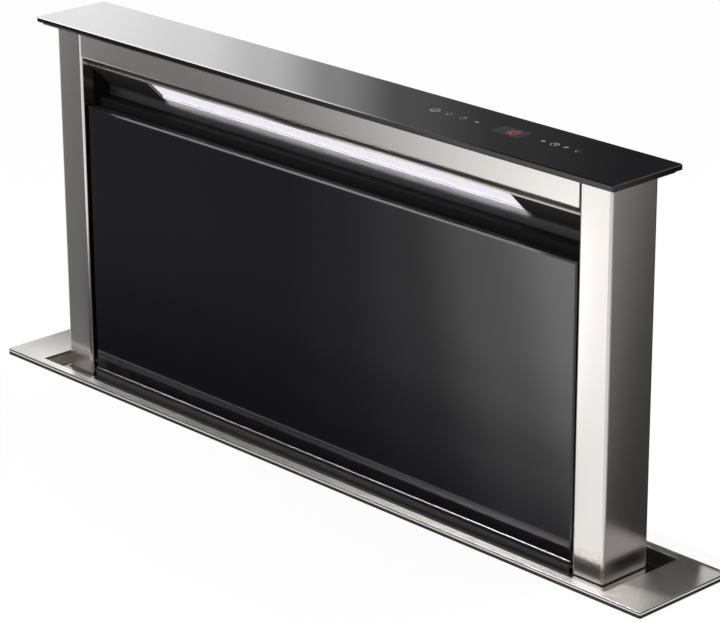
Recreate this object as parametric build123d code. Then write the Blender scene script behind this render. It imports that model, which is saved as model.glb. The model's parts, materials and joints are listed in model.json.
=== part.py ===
from build123d import *
import math
import os

# Downdraft vent, raised. Millimetres. x runs along the vent, the front faces -y, and z = 0 is the
# surface of the worktop that the trim rests on. Everything under z = 0 hangs inside the cabinet.

# ---- Driving dimensions ------------------------------------------------------------------------

sheet = 1.5                 # steel sheet of the tower and of the housing
thin_sheet = 1.2            # steel sheet of the boxes and of the deflector
bend = 0.8                  # inner radius of a folded edge
seam = 0.5                  # open seam between two neighbouring covers
play = 0.3                  # gap between pieces that pass each other
running = 0.08              # radial play of a shaft in its bore

trim_length = 900
trim_overhang = 33          # of the trim, beyond the end of the housing
trim_border = 9.5           # of the trim, along the front and the rear of the recess
lift_room = 37              # for the lift, between tower and housing
glass_overhang = 15         # of the glass top, all round the tower
glass_gap_x = 5             # round the glass top when it lies in the recess
glass_gap_y = 4.5
trim_thickness = 3
trim_corner = 1.5
trim_edge = 0.8
seal_thickness = 3.5
seal_inset = 1.5
cutout_play_x = 9
cutout_play_y = 1.5

ledge_play = 0.5            # under the glass top when the tower is down
slot_gap = 2                # round the tower, in the ledge
lip_gap = 0.4               # between the tower and its rubber lip
lip_height = 4.5
lip_width = 8.5

glass_thickness = 5
glass_corner = 3
glass_edge = 0.8
frame_thickness = 3
frame_inset = 5
rise = 374                  # travel of the tower; the glass top ends level with the trim

tower_width = 60
tower_tail = 122            # what stays under the worktop when the tower is up
upright_width = 37.5
upright_return = 14.4
upright_back = 26
upright_bend = 1.2
post_width = 30
rail_height = 27
rail_return = 20
rail_lip = 9.6              # run of the sloped lip under the top rail

board_length = 212
board_width = 46
board_thickness = 1.6
board_from_end = 162        # from the right end of the tower to the board's centre
board_y = 7.5
display_shift = 7
display_length = 30
display_width = 20
display_height = 5

lamp_length = 497
lamp_width = 25
lens_thickness = 3
lamp_depth = 14
lamp_rim = 1.5
lamp_recess = 0.8
lamp_flange = 3
led_size = 3
led_pitch = 16
led_board_width = 14

suction_height = 52.5       # from the top of the front panel up to the rail
panel_gap = 4.5             # beside the front panel
panel_setback = 3
panel_drop = 0.5            # panel's foot, below the top of the trim
front_glass_thickness = 4
front_glass_edge = 1.5
panel_depth = 9.5
panel_trim_height = 2
panel_trim_lip = 0.5
panel_tilt_room = 2         # under the panel's foot, for the foot's swing
hinge_pin_radius = 2
hinge_pin_length = 12
hinge_y = -20.5
hinge_height = 5            # above the panel's foot

deflector_bend = 6          # inner radius where the deflector turns down

filter_depth = 10
filter_front = -6
filter_gap = 3
filter_rim = 12
filter_sheet = 1
filter_tab = 18
mesh_layers = 4
mesh_thickness = 0.6
filter_lift = 8             # lifts this far into the upper channel
filter_floor = 24
channel_lip = 7
channel_floor = 2

housing_depth = 606.5       # from the ledge down to the foot of the housing
flange = 8
side_flange = 20

rod_radius = 6
rod_spread = 30             # from the lift screw to each guide rod
screw_radius = 7
journal_radius = 4
journal_length = 18         # of the lift screw in its gearbox
end_plate = 6
end_plate_width = 84
end_plate_gap = 1.5         # under the ledge's rubber lip
carrier_room = 8            # under the carrier when the tower is down
carrier_plate = 5
carrier_web = 4
carrier_side_gap = 2.5
carrier_drop = 22
nut_radius = 11
nut_flange = 13.3
nut_flange_height = 4
nut_height = 24
bush_radius = 9
bush_height = 14
lift_motor_radius = 16
gearbox_size = 33
gearbox_height = 36
lift_motor_height = 56
sensor_height = 30
sensor_width = 9
sensor_depth = 1.8
sensor_drop = 20

fan_z = -430
fan_radius = 90
fan_width = 94
blade_count = 32
blade_chord = 16
blade_thickness = 1
fan_hub_radius = 10
fan_cup_radius = 50
fan_cup_flare = 8
inlet_radius = 70
inlet_hole = 85
inlet_flange = 12
inlet_wall = 2
inlet_overlap = 4           # of the throat inside the fan's front ring
volute_start = 105
volute_step = 16
volute_wall = 2
volute_width = 148
scroll_gap = 10             # from the blower's box to the scroll
fan_gap = 12                # from the front of the scroll to the fan
fan_motor_radius = 42
fan_shaft_radius = 4
blower_left = 138
blower_right = 190
blower_top = 168            # above the fan's axis
blower_bottom = 120
blower_depth = 190

collar_radius = 75
collar_wall = 1.5
collar_length = 84
collar_flange = 84
flap_pin_radius = 2
flap_thickness = 1
flap_play = 1
flap_setback = 12           # of the flaps, from the blower's side
knuckle_radius = 3.6
knuckle_length = 29

control_length = 240
control_height = 140
control_depth = 40
control_from_end = 217      # from the left end of the housing to the box's centre
control_z = -360
gland_radius = 9
gland_thread = 7
gland_bore = 4.5
gland_length = 26
gland_shift = 60
pillar_radius = 4
board_inset = 22
board_pillar_inset = 30
board_stand = 8
cover_lip = 14
cover_screw_inset = 7

bracket_height = 120
bracket_width = 40
bracket_reach = 15
bracket_foot = 30
bracket_hole = 2.75
bracket_pitch = 80
bracket_z = -250

screw_head = 3.6
screw_head_height = 2.2
screw_shank = 1.8
screw_length = 7
tower_screw_x = 6           # from the bay's edge
tower_screw_end = 20

# ---- Places worked out from them ---------------------------------------------------------------

housing_length = trim_length - 2 * trim_overhang
tower_length = housing_length - 2 * lift_room
glass_length = tower_length + 2 * glass_overhang
glass_width = tower_width + 2 * glass_overhang
recess_length = glass_length + 2 * glass_gap_x
recess_width = glass_width + 2 * glass_gap_y
trim_width = recess_width + 2 * trim_border

trim_top = seal_thickness + trim_thickness
recess_depth = glass_thickness + frame_thickness + ledge_play
ledge_top = trim_top - recess_depth
ledge_bottom = ledge_top - sheet
housing_width = recess_width + 2 * sheet
housing_foot = ledge_bottom - housing_depth
housing_x = housing_length / 2
housing_y = housing_width / 2
control_x = control_from_end - housing_x

glass_top_z = trim_top + rise
frame_top = glass_top_z - glass_thickness
tower_top = frame_top - frame_thickness
tower_foot = -tower_tail
tower_x = tower_length / 2
tower_y = tower_width / 2
board_x = tower_x - board_from_end
display_x = board_x + display_shift
bay_x = tower_x - upright_width          # half the bay between the uprights
rail_bottom = tower_top - rail_height
slope = rail_bottom - tower_y            # y + z on the sloped face above the suction slot

panel_x = bay_x - panel_gap
panel_y = -tower_y + panel_setback
panel_top = rail_bottom - suction_height
panel_foot = trim_top - panel_drop
panel_back = panel_y + panel_depth
hinge_z = panel_foot + hinge_height

filter_back = filter_front + filter_depth
channel_front = filter_front - play - sheet
channel_back = filter_back + play + sheet
filter_top = panel_top - 5
channel_top = filter_top + filter_lift + 3
duct_y = channel_back + seam

screw_x = (tower_x + housing_x - sheet) / 2
upper_plate_top = ledge_bottom - lip_height - end_plate_gap
carrier_top = -carrier_drop
lower_plate_top = tower_foot - rise - carrier_room

blower_y = housing_y                     # the blower hangs on the back of the housing
volute_front = blower_y + thin_sheet + scroll_gap
volute_back = volute_front + volute_width
fan_front = volute_front + fan_gap
fan_back = fan_front + fan_width
fan_disc = fan_front + fan_width * 0.48
outlet_low = volute_step / 2
outlet_high = volute_start + 3 * volute_step
collar_y = blower_y + collar_flange + 2
collar_z = fan_z + (outlet_low + outlet_high) / 2
collar_x = blower_right
flap_x = collar_x + flap_setback
blower_back = blower_y + blower_depth


# ---- Ways of making a piece --------------------------------------------------------------------

def block(x, y, z):
    """A box from the low to the high end given for each direction."""
    ends = (x, y, z)
    size = [high - low for low, high in ends]
    centre = [(high + low) / 2 for low, high in ends]
    return Pos(*centre) * Box(*size)


def round_bar(centre, radius, ends, along="z"):
    """A cylinder between two ends along one direction; centre gives the other two places."""
    length = ends[1] - ends[0]
    middle = (ends[1] + ends[0]) / 2
    bar = Cylinder(radius, length)
    if along == "x":
        return Pos(middle, centre[0], centre[1]) * Rot(0, 90, 0) * bar
    if along == "y":
        return Pos(centre[0], middle, centre[1]) * Rot(90, 0, 0) * bar
    return Pos(centre[0], centre[1], middle) * bar


def ring(centre, outer, inner, ends, along="z"):
    """A tube between two ends along one direction."""
    return round_bar(centre, outer, ends, along) - round_bar(centre, inner, ends, along)


def folded(points, thickness, inner_radius=bend):
    """Section of a folded sheet: its skin follows the points and its metal lies on their left."""
    path = [Vector(*point) for point in points]
    left = []
    for start, end in zip(path, path[1:]):
        run = (end - start).normalized()
        left.append(Vector(-run.Y, run.X))
    inside = [path[0] + left[0] * thickness]
    for index in range(1, len(path) - 1):
        before, after = left[index - 1], left[index]
        inside.append(path[index] + (before + after) * (thickness / (1 + before.dot(after))))
    inside.append(path[-1] + left[-1] * thickness)
    face = make_face(Polyline(*path, *reversed(inside), close=True)).face()
    for index in range(1, len(path) - 1):
        turns_left = left[index - 1].cross(left[index]).Z > 0
        skin_radius = inner_radius + thickness if turns_left else inner_radius
        metal_radius = inner_radius if turns_left else inner_radius + thickness
        for corner, radius in ((path[index], skin_radius), (inside[index], metal_radius)):
            nearest = min(face.vertices(), key=lambda vertex: (Vector(*vertex) - corner).length)
            face = face.fillet_2d(radius, [nearest])
    return face


def along_x(face, x):
    """Runs a section drawn in y and z from one x to another."""
    return extrude(Plane.YZ.offset(x[0]) * face, amount=x[1] - x[0])


def along_y(face, y):
    """Runs a section drawn in x and z from one y to another."""
    return extrude(Plane.XZ.offset(-y[0]) * face, amount=y[0] - y[1])


def along_z(face, z):
    """Runs a section drawn in x and y from one z to another."""
    return extrude(Plane.XY.offset(z[0]) * face, amount=z[1] - z[0])


def frame_ring(outer, inner, z):
    """A flat rectangular ring with the full outer and inner length and width."""
    whole = block((-outer[0] / 2, outer[0] / 2), (-outer[1] / 2, outer[1] / 2), z)
    hole = block((-inner[0] / 2, inner[0] / 2), (-inner[1] / 2, inner[1] / 2), z)
    return whole - hole


def other_side(piece):
    """The same piece at the other end of the vent."""
    return mirror(piece, about=Plane.YZ)


def pair(piece):
    """The piece and its mirror image at the other end."""
    return [piece, other_side(piece)]


def pan_screw(x, z, y):
    """A pan-head screw that enters along -y, with the underside of its head at y."""
    head = round_bar((x, z), screw_head, (y, y + screw_head_height), "y")
    rim = head.faces().sort_by(Axis.Y)[-1].edges()
    head = fillet(rim, screw_head_height * 0.45)
    return head + round_bar((x, z), screw_shank, (y - screw_length, y), "y")


def front_screw(x, z, y):
    """The same screw entering along +y."""
    return Pos(x, y, z) * Rot(0, 0, 180) * pan_screw(0, 0, 0)


def sunk_screw(x, z, y):
    """A countersunk screw whose head ends level with a skin that faces +y."""
    cone = Pos(x, y - sheet / 2, z) * Rot(-90, 0, 0) * Cone(screw_shank, screw_head, sheet)
    return cone + round_bar((x, z), screw_shank, (y - screw_length, y - sheet), "y")


# ---- Worktop trim and ledge --------------------------------------------------------------------

def make_trim_plate():
    """The bright frame that lies on the worktop, with the recess for the glass top."""
    x, y = trim_length / 2, trim_width / 2
    plate = block((-x, x), (-y, y), (seal_thickness, trim_top))
    plate = fillet(plate.edges().filter_by(Axis.Z), trim_corner)
    plate = chamfer(plate.faces().sort_by(Axis.Z)[-1].edges(), trim_edge)
    plate = chamfer(plate.faces().sort_by(Axis.Z)[0].edges(), trim_edge / 2)
    hole = block(
        (-recess_length / 2, recess_length / 2),
        (-recess_width / 2, recess_width / 2),
        (0, trim_top + 1),
    )
    plate -= hole
    top = plate.faces().sort_by(Axis.Z)[-1]
    return chamfer(top.inner_wires()[0].edges(), trim_edge / 2)


def make_worktop_seal():
    outer = (trim_length - 2 * seal_inset, trim_width - 2 * seal_inset)
    inner = (housing_length + 2 * cutout_play_x, housing_width + 2 * cutout_play_y)
    return frame_ring(outer, inner, (0, seal_thickness))


def make_ledge_tray():
    """Walls of the recess and the ledge round the tower."""
    outer = (recess_length + 2 * sheet, recess_width + 2 * sheet)
    inner = (recess_length, recess_width)
    slot = (tower_length + 2 * slot_gap, tower_width + 2 * slot_gap)
    walls = frame_ring(outer, inner, (ledge_bottom, seal_thickness))
    return walls + frame_ring(outer, slot, (ledge_bottom, ledge_top))


def make_slot_lip():
    """Rubber lip under the ledge that closes the slot round the tower."""
    inner = (tower_length + 2 * lip_gap, tower_width + 2 * lip_gap)
    outer = (inner[0] + 2 * lip_width, inner[1] + 2 * lip_width)
    return frame_ring(outer, inner, (ledge_bottom - lip_height, ledge_bottom))


# ---- Housing under the worktop -----------------------------------------------------------------

def make_housing_front():
    """Full-length sheet with flanges at its top and foot that stop before the sides."""
    path = [
        (-housing_y + flange, ledge_bottom),
        (-housing_y, ledge_bottom),
        (-housing_y, housing_foot),
        (-housing_y + flange, housing_foot),
    ]
    panel = along_x(folded(path, sheet), (-housing_x, housing_x))
    end = block(
        (housing_x - side_flange - seam, housing_x + 1),
        (-housing_y + sheet, 0),
        (housing_foot - 1, 0),
    )
    return panel - end - other_side(end)


def make_housing_back():
    panel = mirror(make_housing_front(), about=Plane.XZ)
    return panel - round_bar((0, fan_z), inlet_hole, (0, housing_y + 1), "y")


def make_housing_side():
    """Right side; the left one is its mirror image."""
    path = [
        (housing_x - side_flange, housing_foot),
        (housing_x, housing_foot),
        (housing_x, ledge_bottom),
        (housing_x - side_flange, ledge_bottom),
    ]
    inside = housing_y - sheet
    return along_y(folded(path, sheet), (-inside, inside))


def make_housing_base():
    x = housing_x - sheet - bend
    y = housing_y - sheet - bend
    z = housing_foot + sheet
    return block((-x, x), (-y, y), (z, z + sheet))


def make_guide_plates():
    """Two upper and two lower plates that hold the guide rods and the lift screws."""
    inner = tower_x + carrier_web + 1
    outer = housing_x - sheet
    half = end_plate_width / 2
    plates = []
    for top in (upper_plate_top, lower_plate_top):
        plate = block((inner, outer), (-half, half), (top - end_plate, top))
        for y in (-rod_spread, rod_spread):
            plate -= round_bar((screw_x, y), rod_radius, (top - end_plate - 1, top + 1))
        bore = (top - end_plate - 1, top + 1)
        plate -= round_bar((screw_x, 0), journal_radius + running, bore)
        plates += pair(plate)
    return plates


def make_guide_rods():
    ends = (lower_plate_top - end_plate, upper_plate_top)
    rods = []
    for y in (-rod_spread, rod_spread):
        rods += pair(round_bar((screw_x, y), rod_radius, ends))
    return rods


def make_lift_motors():
    """A gearmotor under each lift screw: square gearbox, round motor."""
    top = lower_plate_top - end_plate
    half = gearbox_size / 2
    box_foot = top - gearbox_height
    box = block((screw_x - half, screw_x + half), (-half, half), (box_foot, top))
    box = chamfer(box.edges().filter_by(Axis.Z), 3)
    motor_foot = box_foot - lift_motor_height
    can = round_bar((screw_x, 0), lift_motor_radius, (motor_foot, box_foot))
    can = chamfer(can.faces().sort_by(Axis.Z)[0].edges(), 2)
    bore = round_bar((screw_x, 0), journal_radius + running, (top - journal_length - 2, top))
    return pair(box + can - bore)


def make_end_sensors():
    """Two small sensors on each side panel that tell where the tower is."""
    sensors = []
    half = sensor_height / 2
    for z in (carrier_top - sensor_drop, carrier_top - rise + 2 * sensor_drop):
        x = (housing_x - sheet - sensor_depth, housing_x - sheet)
        y = (end_plate_width / 2 - sensor_width / 3, end_plate_width / 2 + 2 * sensor_width / 3)
        body = block(x, y, (z - half, z + half))
        sensors += pair(body)
    return sensors


def make_cabinet_brackets():
    """Stepped bracket on each side of the housing, with two holes for the cabinet wall."""
    path = [
        (housing_x + sheet, -bracket_foot),
        (housing_x + sheet, 0),
        (housing_x + sheet + bracket_reach, 0),
        (housing_x + sheet + bracket_reach, bracket_foot),
    ]
    section = folded(path, sheet)
    low = bracket_z - bracket_height / 2
    bracket = along_z(section, (low, low + bracket_height))
    for z in (bracket_z - bracket_pitch / 2, bracket_z + bracket_pitch / 2):
        ends = (housing_x, housing_x + bracket_reach + 3 * sheet)
        bracket -= round_bar((bracket_foot / 2, z), bracket_hole, ends, "x")
    return pair(bracket)


# ---- Blower --------------------------------------------------------------------------------------

def volute_face(grow):
    """Side view of the scroll: three quarter turns that widen by a step, then the outlet run."""
    first = volute_start + grow
    second = first + volute_step
    third = second + volute_step
    end_x = blower_right - thin_sheet - play
    middle = volute_step
    top = middle + third
    low = outlet_low - grow

    def turn(cx, cz, radius, start):
        return CenterArc((cx, cz), radius, start, -90)

    bottom_turn = turn(0, 0, first, 0)
    left_turn = turn(0, middle, second, -90)
    top_turn = turn(middle, middle, third, 180)
    outline = [
        bottom_turn,
        left_turn,
        top_turn,
        Line((middle, top), (end_x, top)),
        Line((end_x, top), (end_x, low)),
        Line((end_x, low), (first, low)),
        Line((first, low), (first, 0)),
    ]
    return Pos(0, fan_z) * make_face(outline)


def make_scroll_housing():
    """Scroll with its inlet side; the outlet is open towards the collar."""
    shell = along_y(volute_face(volute_wall), (volute_front, volute_back))
    hollow = along_y(volute_face(0), (volute_front + volute_wall, volute_back + 1))
    shell -= hollow
    end_x = blower_right - thin_sheet - play
    mouth = block(
        (end_x - 5, end_x + 1),
        (volute_front + volute_wall, volute_back),
        (fan_z + outlet_low, fan_z + outlet_high),
    )
    shell -= mouth
    return shell - round_bar((0, fan_z), inlet_hole, (volute_front - 1, volute_front + 3), "y")


def make_motor_plate():
    """Flat lid of the scroll that carries the fan's motor."""
    return along_y(volute_face(volute_wall), (volute_back, volute_back + volute_wall))


def make_inlet_ring():
    """Flared ring that leads the air from the housing into the fan."""
    base = blower_y + thin_sheet
    wall = inlet_wall
    mouth = inlet_hole - wall
    lip = fan_front + inlet_overlap
    section = Polyline(
        (inlet_hole + inlet_flange, base),
        (inlet_hole + inlet_flange, base + wall),
        (mouth, base + wall),
        (mouth, volute_front + wall / 2),
        (inlet_radius + wall, fan_front - inlet_overlap),
        (inlet_radius + wall, lip),
        (inlet_radius, lip),
        (inlet_radius, fan_front - inlet_overlap),
        (mouth - 1.5 * wall, base),
        close=True,
    )
    turned = revolve(make_face(section), Axis.Y)
    foot_radius = inlet_hole + inlet_flange / 2
    foot = ring((0, 0), foot_radius, foot_radius - 2 * wall, (base + wall, volute_front), "y")
    return Pos(0, 0, fan_z) * (turned + foot)


def make_impeller():
    """Drum fan: two rings, slanting blades between them and a cup that holds the hub."""
    back_ring = fan_back - 3
    rim = ring((0, 0), fan_radius, fan_radius - blade_chord, (fan_front, fan_front + 3), "y")
    cup = Polyline(
        (fan_hub_radius, fan_disc),
        (fan_hub_radius, fan_disc - fan_hub_radius),
        (fan_shaft_radius, fan_disc - fan_hub_radius),
        (fan_shaft_radius, fan_disc + 3),
        (fan_cup_radius, fan_disc + 3),
        (fan_cup_radius + fan_cup_flare, fan_back),
        (fan_radius, fan_back),
        (fan_radius, back_ring),
        (fan_cup_radius + fan_cup_flare + 4, back_ring),
        (fan_cup_radius + 4, fan_disc),
        close=True,
    )
    drum = rim + revolve(make_face(cup), Axis.Y)
    middle = fan_radius - blade_chord / 2
    half = blade_thickness / 2
    blade = block(
        (middle - blade_chord * 0.42, middle + blade_chord * 0.42),
        (fan_front + 2, back_ring + 1),
        (-half, half),
    )
    blade = Pos(middle, 0, 0) * Rot(0, 35, 0) * Pos(-middle, 0, 0) * blade
    blades = [Rot(0, turn * 360 / blade_count, 0) * blade for turn in range(blade_count)]
    return Pos(0, 0, fan_z) * drum.fuse(*blades)


def make_fan_shaft():
    ends = (fan_disc - 1.2 * fan_hub_radius, volute_back - 1.2 * fan_hub_radius)
    return round_bar((0, fan_z), fan_shaft_radius, ends, "y")


def make_fan_motor():
    """Motor that stands in the fan's cup, on the motor plate."""
    front = fan_disc + 10
    can = round_bar((0, fan_z), fan_motor_radius, (front, volute_back), "y")
    can = chamfer(can.faces().sort_by(Axis.Y)[0].edges(), 3)
    return can - round_bar((0, fan_z), fan_shaft_radius + running, (0, volute_back - fan_hub_radius), "y")


def blower_screw_places():
    """Screws round the rear cover of the blower."""
    inset = cover_screw_inset
    left, right = -blower_left + inset, blower_right - inset
    low, high = fan_z - blower_bottom + inset, fan_z + blower_top - inset
    middle = (left + right) / 2
    places = [(x, z) for x in (left, middle, right) for z in (low, high)]
    return places + [(left, (low + high) / 2), (right, (low + high) / 2)]


def make_blower_box():
    """Five riveted panels, open to the rear: inlet in the front one, outlet in the right one."""
    left, right = -blower_left, blower_right
    low, high = fan_z - blower_bottom, fan_z + blower_top
    t = thin_sheet
    lip = cover_lip
    near, far = blower_y + t, blower_back
    front = block((left, right), (blower_y, near), (low, high))
    front -= round_bar((0, fan_z), inlet_hole, (blower_y - 1, near + 1), "y")
    roof = folded([(far, high - lip), (far, high), (near, high)], t)
    floor = folded([(near, low), (far, low), (far, low + lip)], t)
    right_edge = folded([(right, near), (right, far), (right - lip, far)], t)
    left_edge = folded([(left + lip, far), (left, far), (left, near)], t)
    wall_y = (near, far - t - bend)
    right_side = block((right - t, right), wall_y, (low + t, high - t))
    left_side = block((left, left + t), wall_y, (low + t, high - t))
    right_side += along_z(right_edge, (low + lip, high - lip))
    left_side += along_z(left_edge, (low + lip, high - lip))
    right_side -= round_bar(
        (collar_y, collar_z),
        collar_radius - collar_wall,
        (right - 3, right + 1),
        "x",
    )
    panels = [
        front,
        along_x(roof, (left, right)),
        along_x(floor, (left, right)),
        left_side,
        right_side,
    ]
    for x, z in blower_screw_places():
        hole = round_bar((x, z), screw_shank, (far - 3, far + 1), "y")
        panels = [panel - hole for panel in panels]
    return panels


def make_blower_cover():
    x = (-blower_left, blower_right)
    z = (fan_z - blower_bottom, fan_z + blower_top)
    cover = block(x, (blower_back, blower_back + thin_sheet), z)
    cover = fillet(cover.edges().filter_by(Axis.Y), 3)
    for place in blower_screw_places():
        cover -= round_bar(place, screw_shank, (blower_back - 1, blower_back + 3), "y")
    return cover


def make_outlet_collar():
    """Round collar that takes the duct, with a stop ring for the flaps."""
    centre = (collar_y, collar_z)
    inner = collar_radius - collar_wall
    ends = (collar_x, collar_x + collar_length)
    collar = ring(centre, collar_radius, inner, ends, "x")
    collar += ring(centre, collar_flange, inner, (collar_x, collar_x + collar_wall), "x")
    stop_end = flap_x - flap_thickness / 2 - play
    collar += ring(centre, inner + 0.5, inner - 3, (stop_end - 2, stop_end), "x")
    reach = 1.2 * collar_radius
    pin_hole = round_bar((flap_x, collar_y), flap_pin_radius, (collar_z - reach, collar_z + reach))
    return collar - pin_hole


def make_flap_pin():
    half = collar_radius - collar_wall / 8
    return round_bar((flap_x, collar_y), flap_pin_radius, (collar_z - half, collar_z + half))


def make_flap(side):
    """Half disc that swings on the pin; side is -1 for the one nearer to the front."""
    radius = collar_radius - collar_wall - flap_play
    half = flap_thickness / 2
    disc = round_bar((collar_y, collar_z), radius, (flap_x - half, flap_x + half), "x")
    edge = collar_y + side * (knuckle_radius + play)
    away = collar_y + side * 2 * radius
    keep = block(
        (flap_x - 5, flap_x + 5),
        (min(edge, away), max(edge, away)),
        (collar_z - radius - 1, collar_z + radius + 1),
    )
    flap = disc & keep
    pitch = knuckle_length + 1
    first = collar_z - 2 * pitch + (0 if side < 0 else pitch)
    for low in (first, first + 2 * pitch):
        ends = (low + 0.5, low + 0.5 + knuckle_length)
        web = block(
            (flap_x - half, flap_x + half),
            (min(collar_y, edge + side), max(collar_y, edge + side)),
            ends,
        )
        flap += web + round_bar((flap_x, collar_y), knuckle_radius, ends)
        flap -= round_bar((flap_x, collar_y), flap_pin_radius + running, (low - 1, low + pitch + 1))
    return flap


# ---- Control box -----------------------------------------------------------------------------------

def control_corners(inset):
    """The four corners of the control box, drawn in by an inset."""
    x = control_length / 2 - inset
    z = control_height / 2 - inset
    return [(control_x + sx * x, control_z + sz * z) for sx in (-1, 1) for sz in (-1, 1)]


def make_control_box():
    x = (control_x - control_length / 2, control_x + control_length / 2)
    z = (control_z - control_height / 2, control_z + control_height / 2)
    back = -housing_y
    front = back - control_depth
    t = thin_sheet
    box = block(x, (front, back), z)
    box -= block((x[0] + t, x[1] - t), (front - 1, back - t), (z[0] + t, z[1] - t))
    for place in control_corners(pillar_radius + t / 2):
        box += round_bar(place, pillar_radius, (front, back - t / 2), "y")
        box -= round_bar(place, screw_shank, (front - 1, front + screw_length + 1), "y")
    for place in control_corners(board_pillar_inset):
        box += round_bar(place, pillar_radius, (back - board_stand, back - t / 2), "y")
    gland_y = back - control_depth / 2
    return box - round_bar((control_x + gland_shift, gland_y), gland_thread, (z[0] - 1, z[0] + 3))


def make_control_lid():
    x = (control_x - control_length / 2, control_x + control_length / 2)
    z = (control_z - control_height / 2, control_z + control_height / 2)
    front = -housing_y - control_depth
    lid = block(x, (front - thin_sheet, front), z)
    lid = fillet(lid.edges().filter_by(Axis.Y), 3)
    for place in control_corners(pillar_radius + thin_sheet / 2):
        lid -= round_bar(place, screw_shank, (front - 3, front + 1), "y")
    return lid


def make_power_board():
    """Circuit board on four pillars, with its larger components."""
    back = -housing_y - board_stand
    x = control_length / 2 - board_inset
    z = control_height / 2 - board_inset
    front = back - board_thickness
    room = control_depth - board_stand - board_thickness
    board = block((control_x - x, control_x + x), (front, back), (control_z - z, control_z + z))
    for dx, dz, width, height, depth in (
        (-0.63, 0.25, 0.41, 0.75, 0.80),
        (-0.20, 0.46, 0.20, 0.33, 0.53),
        (0.06, 0.46, 0.20, 0.33, 0.53),
        (-0.20, -0.38, 0.29, 0.42, 0.40),
        (0.61, -0.42, 0.47, 0.38, 0.47),
    ):
        cx, cz = control_x + dx * x, control_z + dz * z
        board += block(
            (cx - width * x / 2, cx + width * x / 2),
            (front - depth * room, front + board_thickness / 2),
            (cz - height * z / 2, cz + height * z / 2),
        )
    for dx in (0.35, 0.55, 0.76):
        place = (control_x + dx * x, control_z + z / 2)
        ends = (front - 0.65 * room, front + board_thickness / 2)
        board += round_bar(place, 0.07 * x, ends, "y")
    return board


def make_cable_gland():
    """Gland in the bottom of the control box, bored for the supply cable."""
    centre = (control_x + gland_shift, -housing_y - control_depth / 2)
    wall = control_z - control_height / 2
    inner = gland_thread
    body = round_bar(centre, inner, (wall - 4, wall + 8))
    head = extrude(
        Plane.XY.offset(wall - 9) * Pos(*centre) * RegularPolygon(gland_radius, 6),
        amount=9,
    )
    nut = extrude(
        Plane.XY.offset(wall + thin_sheet) * Pos(*centre) * RegularPolygon(gland_radius, 6),
        amount=5,
    )
    cap = round_bar(centre, inner, (wall + 8 - gland_length, wall - 8))
    cap = chamfer(cap.faces().sort_by(Axis.Z)[0].edges(), 1.5)
    gland = body + head + nut + cap
    return gland - round_bar(centre, gland_bore, (wall - 2 * gland_length, wall + gland_length))


def make_housing_screws():
    """Pan-head screws of the blower's cover and of the control box's lid."""
    screws = [pan_screw(x, z, blower_back + thin_sheet) for x, z in blower_screw_places()]
    lid = -housing_y - control_depth - thin_sheet
    screws += [front_screw(x, z, lid) for x, z in control_corners(pillar_radius + thin_sheet / 2)]
    return screws


# ---- Tower -----------------------------------------------------------------------------------------

def make_glass_top():
    x, y = glass_length / 2, glass_width / 2
    glass = block((-x, x), (-y, y), (frame_top, glass_top_z))
    glass = fillet(glass.edges().filter_by(Axis.Z), glass_corner)
    glass = chamfer(glass.faces().sort_by(Axis.Z)[-1].edges(), glass_edge)
    return chamfer(glass.faces().sort_by(Axis.Z)[0].edges(), glass_edge / 2)


def make_top_frame():
    """Plate under the glass, with a window for the touch board."""
    x = glass_length / 2 - frame_inset
    y = glass_width / 2 - frame_inset
    plate = block((-x, x), (-y, y), (tower_top, frame_top))
    window_x = board_length / 2 + 2
    window_y = board_width / 2 + 2
    return plate - block(
        (board_x - window_x, board_x + window_x),
        (board_y - window_y, board_y + window_y),
        (tower_top - 1, frame_top + 1),
    )


def make_touch_board():
    """Board of the touch controls, bonded to the underside of the glass."""
    board = block(
        (board_x - board_length / 2, board_x + board_length / 2),
        (board_y - board_width / 2, board_y + board_width / 2),
        (frame_top - board_thickness, frame_top),
    )
    window_x = display_length / 2 + 1
    window_y = display_width / 2 + 1
    return board - block(
        (display_x - window_x, display_x + window_x),
        (board_y - window_y, board_y + window_y),
        (frame_top - 5, frame_top + 1),
    )


def make_display_module():
    x, y = display_length / 2, display_width / 2
    return block(
        (display_x - x, display_x + x),
        (board_y - y, board_y + y),
        (frame_top - display_height, frame_top),
    )


def make_upright():
    """Right cover of the tower: return, front, side and back in one folded sheet."""
    path = [
        (bay_x, -tower_y + upright_return),
        (bay_x, -tower_y),
        (tower_x, -tower_y),
        (tower_x, tower_y),
        (tower_x - upright_back, tower_y),
    ]
    cover = along_z(folded(path, sheet, upright_bend), (tower_foot, tower_top))
    pin_hole = round_bar((hinge_y, hinge_z), hinge_pin_radius + running, (bay_x - 1, bay_x + 3), "x")
    return cover - pin_hole


def make_post():
    """Right inner post, a square tube behind the cover."""
    x = (bay_x, bay_x + post_width)
    y = (-tower_y + upright_return + seam, tower_y - sheet)
    post = block(x, y, (tower_foot, tower_top))
    inside = block(
        (x[0] + sheet, x[1] - sheet),
        (y[0] + sheet, y[1] - sheet),
        (tower_foot - 1, tower_top + 1),
    )
    post -= inside
    for place in tower_screw_places():
        post -= round_bar(place, screw_shank, (0, tower_y), "y")
    return post


def tower_screw_places():
    """Screws down one side of the back panel."""
    x = bay_x + tower_screw_x
    low, high = tower_foot + tower_screw_end, tower_top - 1.5 * tower_screw_end
    return [(x, low + (high - low) * step / 4) for step in range(5)]


def make_tower_screws():
    screws = []
    for x, z in tower_screw_places():
        screws += pair(sunk_screw(x, z, tower_y))
    return screws


def make_back_panel():
    x = tower_x - upright_back - seam
    panel = block((-x, x), (tower_y - sheet, tower_y), (tower_foot, tower_top))
    for place_x, z in tower_screw_places():
        for side in (-1, 1):
            cone = Rot(-90, 0, 0) * Cone(screw_shank, screw_head, sheet)
            panel -= Pos(side * place_x, tower_y - sheet / 2, z) * cone
    return panel


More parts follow.
